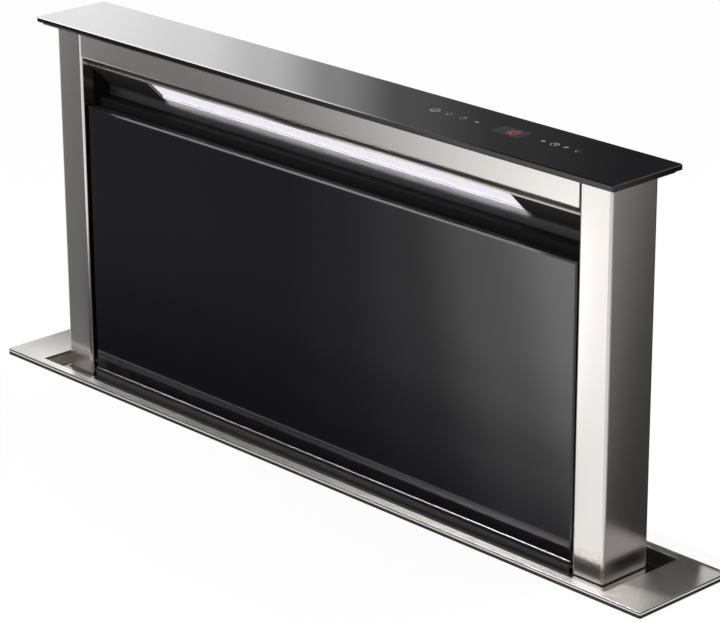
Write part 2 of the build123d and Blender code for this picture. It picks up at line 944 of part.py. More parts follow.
def make_top_rail():
    """Front rail under the glass, with its sloped lip above the suction slot."""
    path = [
        (-tower_y + rail_return, tower_top),
        (-tower_y, tower_top),
        (-tower_y, rail_bottom),
        (-tower_y + rail_lip, rail_bottom - rail_lip),
    ]
    section = folded(path, sheet)
    x = bay_x - seam
    return along_x(section, (-x, x))


def lamp_place(piece):
    """Turns a piece drawn flat, face down at z = 0, onto the sloped face of the deflector."""
    half = (lamp_width / 2 + lamp_rim) / math.sqrt(2)
    y = -tower_y + rail_lip + seam + half
    return Pos(0, y, slope - y) * Rot(-45, 0, 0) * Pos(0, 0, lamp_recess) * piece


def make_deflector():
    """Sloped sheet that turns the air down, with a notch for the lamp, and its welded rear leg."""
    start = -tower_y + rail_lip + seam
    path = [
        (start, slope - start),
        (channel_back, slope - channel_back),
        (channel_back, channel_top - flange),
    ]
    x = bay_x - play
    skin = along_x(folded(path, thin_sheet, deflector_bend), (-x, x))
    half = lamp_length / 2 + lamp_rim + play
    width = lamp_width / 2 + lamp_rim + play
    skin -= lamp_place(block((-half, half), (-width - 5, width), (-5, 20)))
    weld = slope - channel_back - deflector_bend / 4
    leg = block((-x, x), (-tower_y, tower_y), (channel_top - flange, weld))
    return [skin - leg, skin & leg]


def make_lamp_housing():
    """Aluminium trough in the notch; its rim shows round the lens, a flange holds it behind."""
    half = lamp_length / 2
    width = lamp_width / 2
    rim = lamp_rim
    back = thin_sheet - lamp_recess
    trough = block((-half - rim, half + rim), (-width - rim, width + rim), (0, lamp_depth))
    trough += block(
        (-half - rim - lamp_flange, half + rim + lamp_flange),
        (-width - rim + 2, width + rim + lamp_flange),
        (back, back + thin_sheet),
    )
    trough -= block((-half, half), (-width, width), (-1, lamp_depth - rim))
    return lamp_place(trough)


def make_lamp_lens():
    half = lamp_length / 2
    width = lamp_width / 2
    return lamp_place(block((-half, half), (-width, width), (0.3, 0.3 + lens_thickness)))


def make_led_board():
    """Strip of light-emitting diodes on the floor of the trough."""
    half = lamp_length / 2 - 4
    floor = lamp_depth - lamp_rim
    strip = block(
        (-half, half),
        (-led_board_width / 2, led_board_width / 2),
        (floor - board_thickness, floor),
    )
    count = int((2 * half - 3 * led_size) // led_pitch)
    size = led_size / 2
    chips = []
    for index in range(count + 1):
        x = (index - count / 2) * led_pitch
        low = floor - board_thickness - 1
        chips.append(block((x - size, x + size), (-size, size), (low, low + 1.2)))
    return lamp_place(strip.fuse(*chips))


def make_filter_channels():
    """Lower and upper channel that the grease filters stand in."""
    x = bay_x
    low = filter_floor - channel_floor
    lower = block((-x, x), (channel_front, channel_back), (low, filter_floor + channel_lip))
    lower -= block(
        (-x - 1, x + 1),
        (channel_front + sheet, channel_back - sheet),
        (filter_floor, filter_floor + channel_lip + 1),
    )
    upper_foot = filter_top - channel_lip
    upper = block((-x, x), (channel_front, channel_back), (upper_foot, channel_top))
    upper -= block(
        (-x - 1, x + 1),
        (channel_front + sheet, channel_back - sheet),
        (upper_foot - 1, channel_top - sheet),
    )
    return [lower, upper]


def make_lower_front():
    """Front of the tower below the panel; narrower where it shows above the ledge."""
    top = panel_foot - panel_tilt_room
    y = -tower_y + sheet
    x = bay_x - seam
    face = block((-x, x), (y, y + sheet), (tower_foot, ledge_bottom))
    face += block((-panel_x, panel_x), (y, y + sheet), (ledge_bottom - 1, top))
    riser_y = (channel_front, channel_front + sheet)
    shelf = block((-bay_x, bay_x), (y + sheet / 2, riser_y[1]), (top - sheet, top))
    riser = block((-bay_x, bay_x), riser_y, (top - sheet, filter_floor - channel_floor))
    return face + shelf + riser


def make_carriers():
    """Bracket on each side of the tower that rides on the guide rods."""
    x = (tower_x, housing_x - sheet - carrier_side_gap)
    half = end_plate_width / 2
    carrier = block((x[0], x[0] + carrier_web), (-half, half), (tower_foot, carrier_top))
    for low in (tower_foot, carrier_top - carrier_plate):
        plate = block(x, (-half, half), (low, low + carrier_plate))
        for y in (-rod_spread, rod_spread):
            plate -= round_bar((screw_x, y), bush_radius, (low - 1, low + carrier_plate + 1))
        plate -= round_bar((screw_x, 0), nut_radius, (low - 1, low + carrier_plate + 1))
        carrier += plate
    return pair(carrier)


def make_lift_nuts():
    """Nut in the lower plate of each carrier."""
    seat = tower_foot + carrier_plate
    ends = (tower_foot - 2, tower_foot - 2 + nut_height)
    nut = round_bar((screw_x, 0), nut_radius, ends)
    nut += round_bar((screw_x, 0), nut_flange, (seat, seat + nut_flange_height))
    return pair(nut - round_bar((screw_x, 0), screw_radius + running, (ends[0] - 1, ends[1] + 1)))


def make_guide_bushes():
    """Plain bushes of the carriers on the guide rods."""
    bushes = []
    for low in (tower_foot, carrier_top - carrier_plate):
        middle = low + carrier_plate / 2
        ends = (middle - bush_height / 2, middle + bush_height / 2)
        for y in (-rod_spread, rod_spread):
            bush = ring((screw_x, y), bush_radius, rod_radius + running, ends)
            bushes += pair(bush)
    return bushes


def make_lift_screw():
    """Right lift screw: threaded length between two plain journals."""
    low = lower_plate_top + seam
    high = upper_plate_top - end_plate - seam
    spindle = round_bar((screw_x, 0), screw_radius, (low, high))
    ends = (lower_plate_top - end_plate - journal_length, upper_plate_top)
    return spindle + round_bar((screw_x, 0), journal_radius, ends)


# ---- Front panel -----------------------------------------------------------------------------------

def make_front_glass():
    y = (panel_y, panel_y + front_glass_thickness)
    z = (panel_foot + panel_trim_height, panel_top)
    glass = block((-panel_x, panel_x), y, z)
    front = glass.faces().sort_by(Axis.Y)[0]
    return chamfer(front.edges(), front_glass_edge)


def make_panel_tray():
    """Steel tray that the glass is bonded to."""
    y = panel_y + front_glass_thickness
    z = (panel_foot + panel_trim_height, panel_top - 0.5)
    x = panel_x - 1
    tray = block((-x, x), (y, panel_back), z)
    return tray - block((-x + 1, x - 1), (y + 1, panel_back + 1), (z[0] + 1, z[1] - 1))


def make_panel_trim():
    """Bright strip along the foot of the front panel."""
    y = (panel_y - panel_trim_lip, panel_back)
    strip = block((-panel_x, panel_x), y, (panel_foot, panel_foot + panel_trim_height))
    return fillet(strip.edges().filter_by(Axis.X).group_by(Axis.Y)[0], 0.6)


def make_hinge_pins():
    """Pin at each lower corner, in the side of the tray and in the upright's return."""
    start = panel_x - 2
    pin = round_bar((hinge_y, hinge_z), hinge_pin_radius, (start, start + hinge_pin_length), "x")
    return pair(pin)


def panel_pin_holes():
    """Bores of the hinge pins in the tray."""
    bore = round_bar((hinge_y, hinge_z), hinge_pin_radius, (panel_x - 2, panel_x + 1), "x")
    return pair(bore)


# ---- Grease filters ----------------------------------------------------------------------------------

def filter_box():
    """Ends of the left filter along x, y and z."""
    x = (-bay_x + filter_gap / 2, -filter_gap / 2)
    return x, (filter_front, filter_back), (filter_floor + play, filter_top)


def inset_box(ends, inset):
    """The same ends drawn in by an inset on every side."""
    return [(low + inset, high - inset) for low, high in ends]


def make_filter_frame():
    """Left filter's frame, with a pull tab; the right one is its mirror image."""
    x, y, z = filter_box()
    rim = filter_rim
    frame = block(x, y, z)
    frame -= block((x[0] + rim, x[1] - rim), (y[0] - 1, y[1] + 1), (z[0] + rim, z[1] - rim))
    frame -= block(*inset_box((x, y, z), filter_sheet))
    middle = (x[0] + x[1]) / 2
    tab_z = (z[1] - rim - filter_tab, z[1] - rim + 1)
    return frame + block((middle - 15, middle + 15), (y[0], y[0] + filter_sheet), tab_z)


def make_filter_mesh():
    """Layers of the left filter's mesh, held inside the frame."""
    x, y, z = inset_box(filter_box(), filter_sheet)
    pitch = (y[1] - y[0] - mesh_thickness) / (mesh_layers - 1)
    layers = []
    for index in range(mesh_layers):
        low = y[0] + index * pitch
        layers.append(block(x, (low, low + mesh_thickness), z))
    return layers


# ---- All pieces --------------------------------------------------------------------------------------

def all_pieces():
    """Every piece of the vent by its name."""
    side = make_housing_side()
    upright = make_upright()
    screw = make_lift_screw()
    filter_frame = make_filter_frame()
    filter_mesh = Compound(children=make_filter_mesh())
    tray = make_panel_tray()
    for bore in panel_pin_holes():
        tray -= bore
    return {
        "trim_plate": make_trim_plate(),
        "worktop_seal": make_worktop_seal(),
        "ledge_tray": make_ledge_tray(),
        "slot_lip": make_slot_lip(),
        "housing_front": make_housing_front(),
        "housing_back": make_housing_back(),
        "housing_right_side": side,
        "housing_left_side": other_side(side),
        "housing_base": make_housing_base(),
        "guide_plates": make_guide_plates(),
        "guide_rods": make_guide_rods(),
        "lift_motors": make_lift_motors(),
        "end_sensors": make_end_sensors(),
        "cabinet_brackets": make_cabinet_brackets(),
        "blower_box": make_blower_box(),
        "blower_cover": make_blower_cover(),
        "scroll_housing": make_scroll_housing(),
        "motor_plate": make_motor_plate(),
        "inlet_ring": make_inlet_ring(),
        "fan_motor": make_fan_motor(),
        "fan_shaft": make_fan_shaft(),
        "impeller": make_impeller(),
        "outlet_collar": make_outlet_collar(),
        "flap_pin": make_flap_pin(),
        "front_flap": make_flap(-1),
        "rear_flap": make_flap(1),
        "control_box": make_control_box(),
        "control_lid": make_control_lid(),
        "power_board": make_power_board(),
        "cable_gland": make_cable_gland(),
        "housing_screws": make_housing_screws(),
        "glass_top": make_glass_top(),
        "top_frame": make_top_frame(),
        "touch_board": make_touch_board(),
        "display_module": make_display_module(),
        "right_upright": upright,
        "left_upright": other_side(upright),
        "posts": pair(make_post()),
        "back_panel": make_back_panel(),
        "tower_screws": make_tower_screws(),
        "top_rail": make_top_rail(),
        "deflector": make_deflector(),
        "lamp_housing": make_lamp_housing(),
        "lamp_lens": make_lamp_lens(),
        "led_board": make_led_board(),
        "filter_channels": make_filter_channels(),
        "lower_front": make_lower_front(),
        "carriers": make_carriers(),
        "lift_nuts": make_lift_nuts(),
        "guide_bushes": make_guide_bushes(),
        "right_lift_screw": screw,
        "left_lift_screw": other_side(screw),
        "front_glass": make_front_glass(),
        "panel_tray": tray,
        "panel_trim": make_panel_trim(),
        "hinge_pins": make_hinge_pins(),
        "left_filter_frame": filter_frame,
        "right_filter_frame": other_side(filter_frame),
        "left_filter_mesh": filter_mesh,
        "right_filter_mesh": other_side(filter_mesh),
    }


os.makedirs("parts", exist_ok=True)
for name, piece in all_pieces().items():
    shape = Compound(children=piece) if isinstance(piece, list) else piece
    export_step(shape, f"parts/{name}.step")
    print(name)
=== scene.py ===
# %% [markdown]
# # A downdraft vent, dressed over its CAD frame
# The vent stands in a slot of the worktop: a flat tower of folded steel and black glass that a
# pair of spindles lifts out of a housing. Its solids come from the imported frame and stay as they
# are. This lesson gives them their finishes, adds the small things that a solid model leaves out,
# and lights the whole as a studio would. Every length below is in millimetres until `mm` turns it
# into Blender's metres.

# %% Load the frame
import bpy
import json
import math
from mathutils import Matrix, Vector

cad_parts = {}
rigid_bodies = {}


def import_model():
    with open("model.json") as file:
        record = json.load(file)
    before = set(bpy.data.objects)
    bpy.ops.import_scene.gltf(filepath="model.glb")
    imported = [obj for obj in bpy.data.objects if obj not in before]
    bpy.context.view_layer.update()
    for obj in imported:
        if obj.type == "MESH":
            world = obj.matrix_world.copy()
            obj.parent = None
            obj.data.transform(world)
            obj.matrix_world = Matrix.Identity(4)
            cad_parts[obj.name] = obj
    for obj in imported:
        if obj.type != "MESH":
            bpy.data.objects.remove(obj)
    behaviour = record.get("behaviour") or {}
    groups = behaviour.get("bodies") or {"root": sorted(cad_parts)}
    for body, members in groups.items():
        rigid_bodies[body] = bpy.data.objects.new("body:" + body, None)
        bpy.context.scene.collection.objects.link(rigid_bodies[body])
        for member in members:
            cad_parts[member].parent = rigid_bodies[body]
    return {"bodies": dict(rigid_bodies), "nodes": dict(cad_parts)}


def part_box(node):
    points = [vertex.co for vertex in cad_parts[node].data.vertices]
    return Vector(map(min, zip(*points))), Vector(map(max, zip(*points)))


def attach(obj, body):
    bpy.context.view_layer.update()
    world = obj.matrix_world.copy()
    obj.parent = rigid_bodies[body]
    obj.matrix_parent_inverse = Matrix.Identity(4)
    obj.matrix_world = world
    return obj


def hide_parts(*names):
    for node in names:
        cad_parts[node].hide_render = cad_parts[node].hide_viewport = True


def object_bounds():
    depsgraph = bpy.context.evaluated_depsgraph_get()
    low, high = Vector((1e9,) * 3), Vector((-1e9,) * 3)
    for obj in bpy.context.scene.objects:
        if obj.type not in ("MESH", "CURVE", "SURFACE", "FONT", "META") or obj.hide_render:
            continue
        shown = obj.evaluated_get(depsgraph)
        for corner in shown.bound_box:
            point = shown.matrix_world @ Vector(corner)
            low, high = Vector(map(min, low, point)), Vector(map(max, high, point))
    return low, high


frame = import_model()
cad_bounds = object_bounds()
nodes = frame["nodes"]

# %% [markdown]
# Three helpers turn units. Lengths are written in millimetres, as a sheet-metal drawing has them,
# and what the frame measures in metres is turned into them. Colours are written as the hex values
# that a paint chart gives, which are sRGB, while Blender's shaders add up light, which is linear, so
# one function turns one into the other.

# %% Lengths and colours
def mm(*lengths):
    """Millimetres to metres: one number, or a vector of three."""
    metres = [length / 1000 for length in lengths]
    return metres[0] if len(metres) == 1 else Vector(metres)


def in_mm(metres):
    """Metres to millimetres, for what the frame measures."""
    return metres * 1000


def colour(code):
    """An sRGB hex code such as #C8CACC as linear red, green, blue and alpha."""
    parts = [int(code[i:i + 2], 16) / 255 for i in (1, 3, 5)]
    linear = [p / 12.92 if p <= 0.04045 else ((p + 0.055) / 1.055) ** 2.4 for p in parts]
    return (*linear, 1.0)


print("mid grey #808080 in linear light:", round(colour("#808080")[0], 3))

# %% [markdown]
# A finish is a small tree of nodes. One function adds a node: its kind, what goes into its
# sockets, which is either a value or the output of an earlier node, and its settings. Two more start
# a material: one with an empty tree, and one with a surface shader that holds its plain values.

# %% Nodes and finishes
def add(tree, kind, sockets=None, stops=(), **settings):
    """A node of a tree, with its settings, and values or other nodes' outputs in its sockets.

    A colour ramp also gets its stops, each a place from 0 to 1 and a grey."""
    node = tree.nodes.new("ShaderNode" + kind)
    for name, value in settings.items():
        setattr(node, name, value)
    for name, value in (sockets or {}).items():
        if isinstance(value, bpy.types.NodeSocket):
            tree.links.new(value, node.inputs[name])
        else:
            node.inputs[name].default_value = value
    for i, (position, grey) in enumerate(stops):
        bands = node.color_ramp.elements
        band = bands[i] if i < 2 else bands.new(position)
        band.position, band.color = position, (grey, grey, grey, 1)
        node.color_ramp.interpolation = "EASE"
    return node


def empty_material(name):
    """A new material whose tree has no node yet."""
    material = bpy.data.materials.new(name)
    material.use_nodes = True
    material.node_tree.nodes.clear()
    return material, material.node_tree


def start_finish(name, sockets):
    """A new material of one surface shader. Gives the material, its tree and the shader."""
    material, tree = empty_material(name)
    shader = add(tree, "BsdfPrincipled", sockets)
    add(tree, "OutputMaterial", {"Surface": shader.outputs["BSDF"]})
    return material, tree, shader


finishes = {}
wanted = {slot.material.name.split(".")[0] for node in nodes.values() for slot in node.material_slots}
print("finishes that the frame asks for:", sorted(wanted))

# %% [markdown]
# The camera stands in front and to the right, a little above the vent, and far away, so that the
# vent's long edges hardly run together. A 151 mm lens on a 36 mm sensor does that. Its place comes
# from the direction it looks in, the distance, and how far the target lies off the middle.

# %% Camera
camera_turn = math.radians(46.440)
camera_height = math.radians(20.266)
camera_roll = math.radians(-0.282)
camera_distance = 2973.8
target_right, target_up = -24.00, -137.08
trim_top = 6.5

back = Vector((
    math.sin(camera_turn) * math.cos(camera_height),
    -math.cos(camera_turn) * math.cos(camera_height),
    math.sin(camera_height),
))
right = back.cross(Vector((0, 0, -1))).normalized()
up = back.cross(right)
side = right * math.cos(camera_roll) + up * math.sin(camera_roll)
top = up * math.cos(camera_roll) - right * math.sin(camera_roll)
place = back * camera_distance - side * target_right - top * target_up + Vector((0, 0, trim_top))

lens = bpy.data.cameras.new("camera")
lens.lens = 151.0
lens.sensor_width = 36
lens.clip_end = 50
camera = bpy.data.objects.new("camera", lens)
bpy.context.scene.collection.objects.link(camera)
turn = Matrix((side, top, back)).transposed()
camera.matrix_world = Matrix.Translation(place / 1000) @ turn.to_4x4()
bpy.context.scene.camera = camera
bpy.context.scene.view_settings.view_transform = "Standard"
print("camera at", [round(v) for v in place], "mm")

# %% [markdown]
# Meshes are made from lists of points and faces. A small function turns such a list into an
# object with its finish, and every piece below goes through it.

# %% A mesh from points and faces
def mesh_object(name, points, faces, material):
    """An object of points in millimetres and faces as lists of point numbers."""
    mesh = bpy.data.meshes.new(name)
    mesh.from_pydata([tuple(mm(*p)) for p in points], [], faces)
    mesh.update()
    mesh.materials.append(material)
    made = bpy.data.objects.new(name, mesh)
    bpy.context.scene.collection.objects.link(made)
    return made


print("faces in the frame's meshes:", sum(len(node.data.polygons) for node in nodes.values()))

# %% [markdown]
# The stage is a plain white studio. The floor and the worktop are white paint that is mostly its
# own light where the camera, a reflection or a refraction looks at it, which gives a clean white
# ground, and the rest is lit paint, which keeps a soft shadow. Light Path tells the rays apart.

# %% White ground
def seen_rays(tree):
    """1 for the rays of the camera, of reflections and of refractions, 0 for all others."""
    ray = add(tree, "LightPath")
    seen = ray.outputs["Is Camera Ray"]
    for kind in ("Is Glossy Ray", "Is Transmission Ray"):
        seen = add(tree, "Math", {0: seen, 1: ray.outputs[kind]}, operation="MAXIMUM").outputs[0]
    return seen


def white_ground(name, lit_share, lit_level):
    """White paint whose own light only the camera, reflections and refractions see.

    lit_level is how bright its lit share gets in the open. The glow makes up the rest to white."""
    material, tree = empty_material(name)
    share = add(tree, "Math", {0: seen_rays(tree), 1: 1 - lit_share}, operation="MULTIPLY")
    paint = add(tree, "BsdfDiffuse", {"Color": colour("#F4F4F4")})
    rest = (1 - lit_share * lit_level) / (1 - lit_share)
    glow = add(tree, "Emission", {"Color": (1, 1, 1, 1), "Strength": rest})
    mixed = add(tree, "MixShader", {0: share.outputs[0], 1: paint.outputs[0], 2: glow.outputs[0]})
    add(tree, "OutputMaterial", {"Surface": mixed.outputs[0]})
    return material


# White laminate for the worktop, matt wall paint for the floor.
worktop_white = white_ground("worktop_white", lit_share=0.14, lit_level=0.9)
floor_white = white_ground("floor_white", lit_share=0.10, lit_level=0.6)
print("white grounds:", worktop_white.name, floor_white.name)

# %% [markdown]
# The worktop is a slab with the cut-out that the housing drops through. It reaches as far as the
# picture does, so that the housing under it is hidden from the main camera, as in a kitchen.

# %% Worktop and floor
slab_x, slab_y = (-520, 530), (-480, 90)
cutout_x, cutout_y = 426, 52.5
slab_thickness = 30
floor_gap, floor_size = 0.5, 14000


def rectangle(across, along):
    """The four corners of a rectangle, each span a low and a high value."""
    return [(across[0], along[0]), (across[1], along[0]), (across[1], along[1]), (across[0], along[1])]


def lying(x_span, y_span, z):
    """The corners of a rectangle that lies flat at one height."""
    return [(x, y, z) for x, y in rectangle(x_span, y_span)]


outer = rectangle(slab_x, slab_y)
inner = rectangle((-cutout_x, cutout_x), (-cutout_y, cutout_y))
slab_points = [(x, y, z) for z in (0, -slab_thickness) for x, y in outer + inner]
# Points 0 to 3 and 4 to 7 go round the slab and the cut-out on top, 8 to 15 do so underneath.
slab_faces = []
for i in range(4):
    j = (i + 1) % 4
    slab_faces.append([i, j, j + 4, i + 4])
    slab_faces.append([i + 12, j + 12, j + 8, i + 8])
    slab_faces.append([i + 8, j + 8, j, i])
    slab_faces.append([i + 4, j + 4, j + 12, i + 12])
worktop = mesh_object("worktop", slab_points, slab_faces, worktop_white)

floor_z = in_mm(cad_bounds[0][2]) - floor_gap
floor_span = (-floor_size, floor_size)
floor = mesh_object("floor", lying(floor_span, floor_span, floor_z), [[0, 1, 2, 3]], floor_white)
print("worktop", slab_x, slab_y, "floor at", round(floor_z, 1))

# %% [markdown]
# The world is white for the rays that see it and a soft grey for the light it gives, so the
# object is lit from all round at a plain level and no pale sheet burns out.

# %% World
light_given, light_seen = 0.45, 1.0
world = bpy.data.worlds.new("studio")
bpy.context.scene.world = world
world.use_nodes = True
sky = world.node_tree
sky.nodes.clear()
sky_level = add(sky, "MapRange", {"Value": seen_rays(sky), "To Min": light_given,
                                  "To Max": light_seen})
sky_light = add(sky, "Background", {"Color": (1, 1, 1, 1), "Strength": sky_level.outputs[0]})
add(sky, "OutputWorld", {"Surface": sky_light.outputs[0]})
print("the world gives", light_given, "and shows", light_seen)

# %% [markdown]
# Two large soft lamps light what is matt: one high in front, one behind. Mirrors must not show
# their outlines, so reflections don't see them. What steel and glass show comes from cards.

# %% Soft lamps
def soft_lamp(name, place, aim, size, watts):
    """A rectangular lamp at a place in millimetres, turned to the point it lights."""
    data = bpy.data.lights.new(name, "AREA")
    data.shape = "RECTANGLE"
    data.size, data.size_y = mm(size[0]), mm(size[1])
    data.energy = watts
    lamp = bpy.data.objects.new(name, data)
    bpy.context.scene.collection.objects.link(lamp)
    lamp.location = mm(*place)
    lamp.rotation_euler = (mm(*aim) - mm(*place)).to_track_quat("-Z", "Y").to_euler()
    lamp.visible_glossy = False
    lamp.visible_camera = False
    return lamp


soft_lamp("front_lamp", (-600, -1500, 1900), (0, 0, 100), (1600, 1600), 42)
soft_lamp("rear_lamp", (900, 1500, 1700), (0, 0, 0), (1500, 1500), 24)
print("lamps:", [(lamp.name, lamp.energy) for lamp in bpy.data.lights])

# %% [markdown]
# A polished front has no colour of its own to speak of: the picture in it is the room. A studio
# photographer stands cards around the object, white where the metal should shine and black where
# it should go deep. The cards here give light only to reflections, and the camera doesn't see them.
# Most have a ramp of brightness, or two ramps that multiply.

# %% A reflector card
hidden_from = ("camera", "diffuse", "transmission", "shadow")


def standing(x_span, y, z_span):
    """The corners of a rectangle that stands along the vent's length."""
    return [(x, y, z) for x, z in rectangle(x_span, z_span)]


def card(name, corners, level, *fades):
    """A flat card that shines at a level. Each fade is a start, an end and the stops between."""
    material, tree = empty_material(name)
    spot = add(tree, "TexCoord")
    shade = (1, 1, 1, 1)
    for start, end, stops in fades:
        along = Vector(end) - Vector(start)
        offset = add(tree, "VectorMath", {0: spot.outputs["Object"], 1: mm(*start)}, operation="SUBTRACT")
        travel = add(tree, "VectorMath", {0: offset.outputs[0], 1: along / along.length_squared * 1000},
                     operation="DOT_PRODUCT")
        ramp = add(tree, "ValToRGB", {"Fac": travel.outputs["Value"]}, stops)
        both = add(tree, "Mix", {0: 1.0, 6: shade, 7: ramp.outputs["Color"]}, data_type="RGBA",
                   blend_type="MULTIPLY")
        shade = both.outputs[2]
    glow = add(tree, "Emission", {"Color": shade, "Strength": level})
    add(tree, "OutputMaterial", {"Surface": glow.outputs[0]})
    made = mesh_object(name, corners, [list(range(len(corners)))], material)
    for kind in hidden_from:
        setattr(made, "visible_" + kind, False)


print("cards stay hidden from", hidden_from, "rays")

# %% [markdown]
# The glass top lies flat, so it mirrors what stands behind the vent to the left, high up. The trim
# lies lower, and a low card close behind it shades it from its front edge to its rear edge. A card
# overhead rakes over the brushed trim and makes its front strip shine at both ends.

# %% Cards behind and above
behind_y, low_y, above_z, bevel_z, sheen_z = 700, 80, 870, 500, 860

card("card_behind", standing((-1500, -60), behind_y, (570, 1300)), 2.95,
     ((-1285, behind_y, 600), (-213, behind_y, 600),
      [(0, 1), (0.25, 0.85), (0.38, 0.62), (0.5, 0.3), (0.62, 0.1), (0.8, 0.04), (1, 0.017)]))
card("card_low", standing((-1100, 402), low_y, (8, 100)), 1.0,
     ((0, low_y, 10), (0, low_y, 85), [(0, 0.03), (0.3, 0.05), (0.6, 0.35), (0.85, 0.85), (1, 1)]),
     ((-400, low_y, 0), (350, low_y, 0), [(0, 1), (0.7, 0.4), (1, 0.12)]))
card("card_above", lying((-1205, -240), (-900, 60), above_z), 84.0,
     ((-1215, 0, above_z), (-240, 0, above_z),
      [(0, 0.2), (0.12, 0.3), (0.2, 0.22), (0.27, 0.005), (0.53, 0.002), (0.63, 0.5), (0.73, 1), (1, 1)]),
     ((0, -245, above_z), (0, -225, above_z), [(0, 0.006), (1, 1)]))

# A narrow card lights the bevel along the front edge of the glass top, bright on the left.
card("card_bevel", lying((-560, 520), (-119, -80), bevel_z), 16.0,
     ((-520, 0, bevel_z), (160, 0, bevel_z), [(0, 1), (0.55, 0.9), (0.8, 0.1), (1, 0)]))
# Another does the same for the bevel along the top of the front glass, all along.
card("card_sheen", lying((-1000, -230), (-320, -276), sheen_z), 3.6,
     ((-960, 0, sheen_z), (-230, 0, sheen_z), [(0, 0.7), (1, 1)]))

# %% [markdown]
# The right side of the tower mirrors the ground behind it to the right. A dark card lies there,
# with a lighter corner that shades the side from its upper front to its lower rear. The feet of
# the uprights mirror the trim, and the trim mirrors what stands far in front.

# %% Cards beside and before
card_z = 8
side_x, side_y = 449, (-58, 57)
card("card_right",
     [(side_x, side_y[0], card_z), (2600, side_y[0], card_z), (2600, 2600, card_z),
      (-900, 2600, card_z), (-900, side_y[1], card_z), (side_x, side_y[1], card_z)], 0.48,
     ((795, 520, card_z), (865, 463, card_z), [(0, 0.10), (0.25, 0.12), (0.7, 0.55), (1, 1)]))
far_x, before_y = 1800, -2000
card("card_far_right", [(far_x, y, z) for y, z in rectangle((-400, 2600), (20, 1500))], 0.5)
card("card_before", standing((-4400, 600), before_y, (20, 1900)), 1.8,
     ((-2600, before_y, 20), (-1500, before_y, 20), [(0, 0.10), (0.35, 0.12), (0.7, 0.6), (1, 1)]))
print("the card on the right starts", side_x, "mm from the middle")

# %% [markdown]
# The front of the tower mirrors the worktop before it. A look from the camera at a point of the
# front goes on to the ground, and `seen_on_ground` works out where it lands. So each face gets a
# card of its own on the ground, just where the camera finds it in that face: steel is a strong
# mirror and takes little light, glass a weak one that takes more.

# %% Cards before the front
front_y = -27


def seen_on_ground(x, z):
    """Where a look at a point of the front lands on the ground after the mirror."""
    reach = (z - card_z) / (place.z - z)
    return (x + (x - place.x) * reach, front_y + (place.y - front_y) * reach, card_z)


def front_card(name, x_span, z_span, *rest):
    """A card where a stretch of the front is seen on the ground."""
    card(name, [seen_on_ground(x, z) for x, z in rectangle(x_span, z_span)], *rest)


# The nearest look that clears the trim, the seam between glass and rail, and the far end.
near_z, seam_z, far_z = 27.5, 320, 480
glass_half, outer_half = 340, 440
glass_low, glass_high, glass_middle = 60, 359, 200
# Looks at one height of the tower land on a line along X, looks at one x on a slanted line. The
# fades run square to that slanted line.
high_look, low_look = seen_on_ground(0, glass_high), seen_on_ground(0, glass_low)
slant = (high_look[0] - low_look[0]) / (high_look[1] - low_look[1])
square = Vector((1, -slant, 0)) / (1 + slant * slant)
middle = Vector(seen_on_ground(0, glass_middle))
front_card("card_glass", (-glass_half, glass_half), (near_z, seam_z), 2.85,
           (middle - square * 400, middle + square * 450,
            [(0, 0.055), (0.4, 0.05), (0.52, 0.08), (0.66, 0.16), (0.82, 0.46), (1, 1)]),
           ((0, -60, card_z), (0, -400, card_z), [(0, 0.25), (0.32, 0.5), (0.66, 0.85), (1, 1)]))
front_card("card_rail", (-glass_half, glass_half), (seam_z, far_z), 1.35,
           (middle - square * 440, middle + square * 515,
            [(0, 0.09), (0.35, 0.13), (0.5, 0.25), (0.65, 0.58), (0.8, 0.88), (1, 1)]))
front_card("card_upright_right", (glass_half, outer_half), (near_z, far_z), 1.45,
           ((0, -60, card_z), (0, -500, card_z), [(0, 0.88), (1, 1)]))
front_card("card_upright_left", (-outer_half, -glass_half), (near_z, far_z), 0.215,
           ((0, -60, card_z), (0, -900, card_z), [(0, 1), (1, 0.75)]))

# %% [markdown]
# Brushed stainless steel is sheet that ran under an abrasive belt. The belt leaves fine scratches
# that all run one way, so a highlight stays narrow along them and smears wide across them.
# `Anisotropic` does the smear, turned by a quarter so that it lies across them. The scratches of a
# 240 grit belt are 0.05 mm wide, far below a pixel, so they are drawn 0.7 mm wide and 60 mm long to
# show as a faint grain.

# %% Brushed steel
scratch_width, scratch_length = 0.7, 60
uneven_gloss, quarter_turn = 0.01, 0.25


def brushed_steel(name, code, roughness, along, smear, depth=0.01):
    """Sheet brushed along an axis, or round the corner between two, with a faint grain.

    smear is how wide a highlight spreads across the grain, depth how deep the grain is in mm."""
    material, tree, shader = start_finish(name, {
        "Metallic": 1.0, "Anisotropic": smear, "Anisotropic Rotation": quarter_turn,
    })
    spot = add(tree, "TexCoord")
    fine, long = 1000 / scratch_width, 1000 / scratch_length
    pattern = tuple(long if letter in along else fine for letter in "xyz")
    stretched = add(tree, "Mapping", {"Vector": spot.outputs["Object"], "Scale": pattern})
    grain = add(tree, "TexNoise", {"Vector": stretched.outputs[0], "Scale": 1.0, "Detail": 3.0})
    gloss = add(tree, "MapRange", {"Value": grain.outputs["Fac"], "From Min": 0.3, "From Max": 0.7,
                                   "To Min": roughness - uneven_gloss,
                                   "To Max": roughness + uneven_gloss})
    tint = add(tree, "Mix", {0: grain.outputs["Fac"], 6: tuple(c * 0.98 for c in colour(code)),
                             7: colour(code)}, data_type="RGBA")
    bump = add(tree, "Bump", {"Height": grain.outputs["Fac"], "Strength": 0.012, "Distance": mm(depth)})
    axis = add(tree, "CombineXYZ", {"xyz".index(letter): 1.0 for letter in along})
    tree.links.new(gloss.outputs[0], shader.inputs["Roughness"])
    tree.links.new(tint.outputs[2], shader.inputs["Base Color"])
    tree.links.new(bump.outputs[0], shader.inputs["Normal"])
    tree.links.new(axis.outputs[0], shader.inputs["Tangent"])
    return material


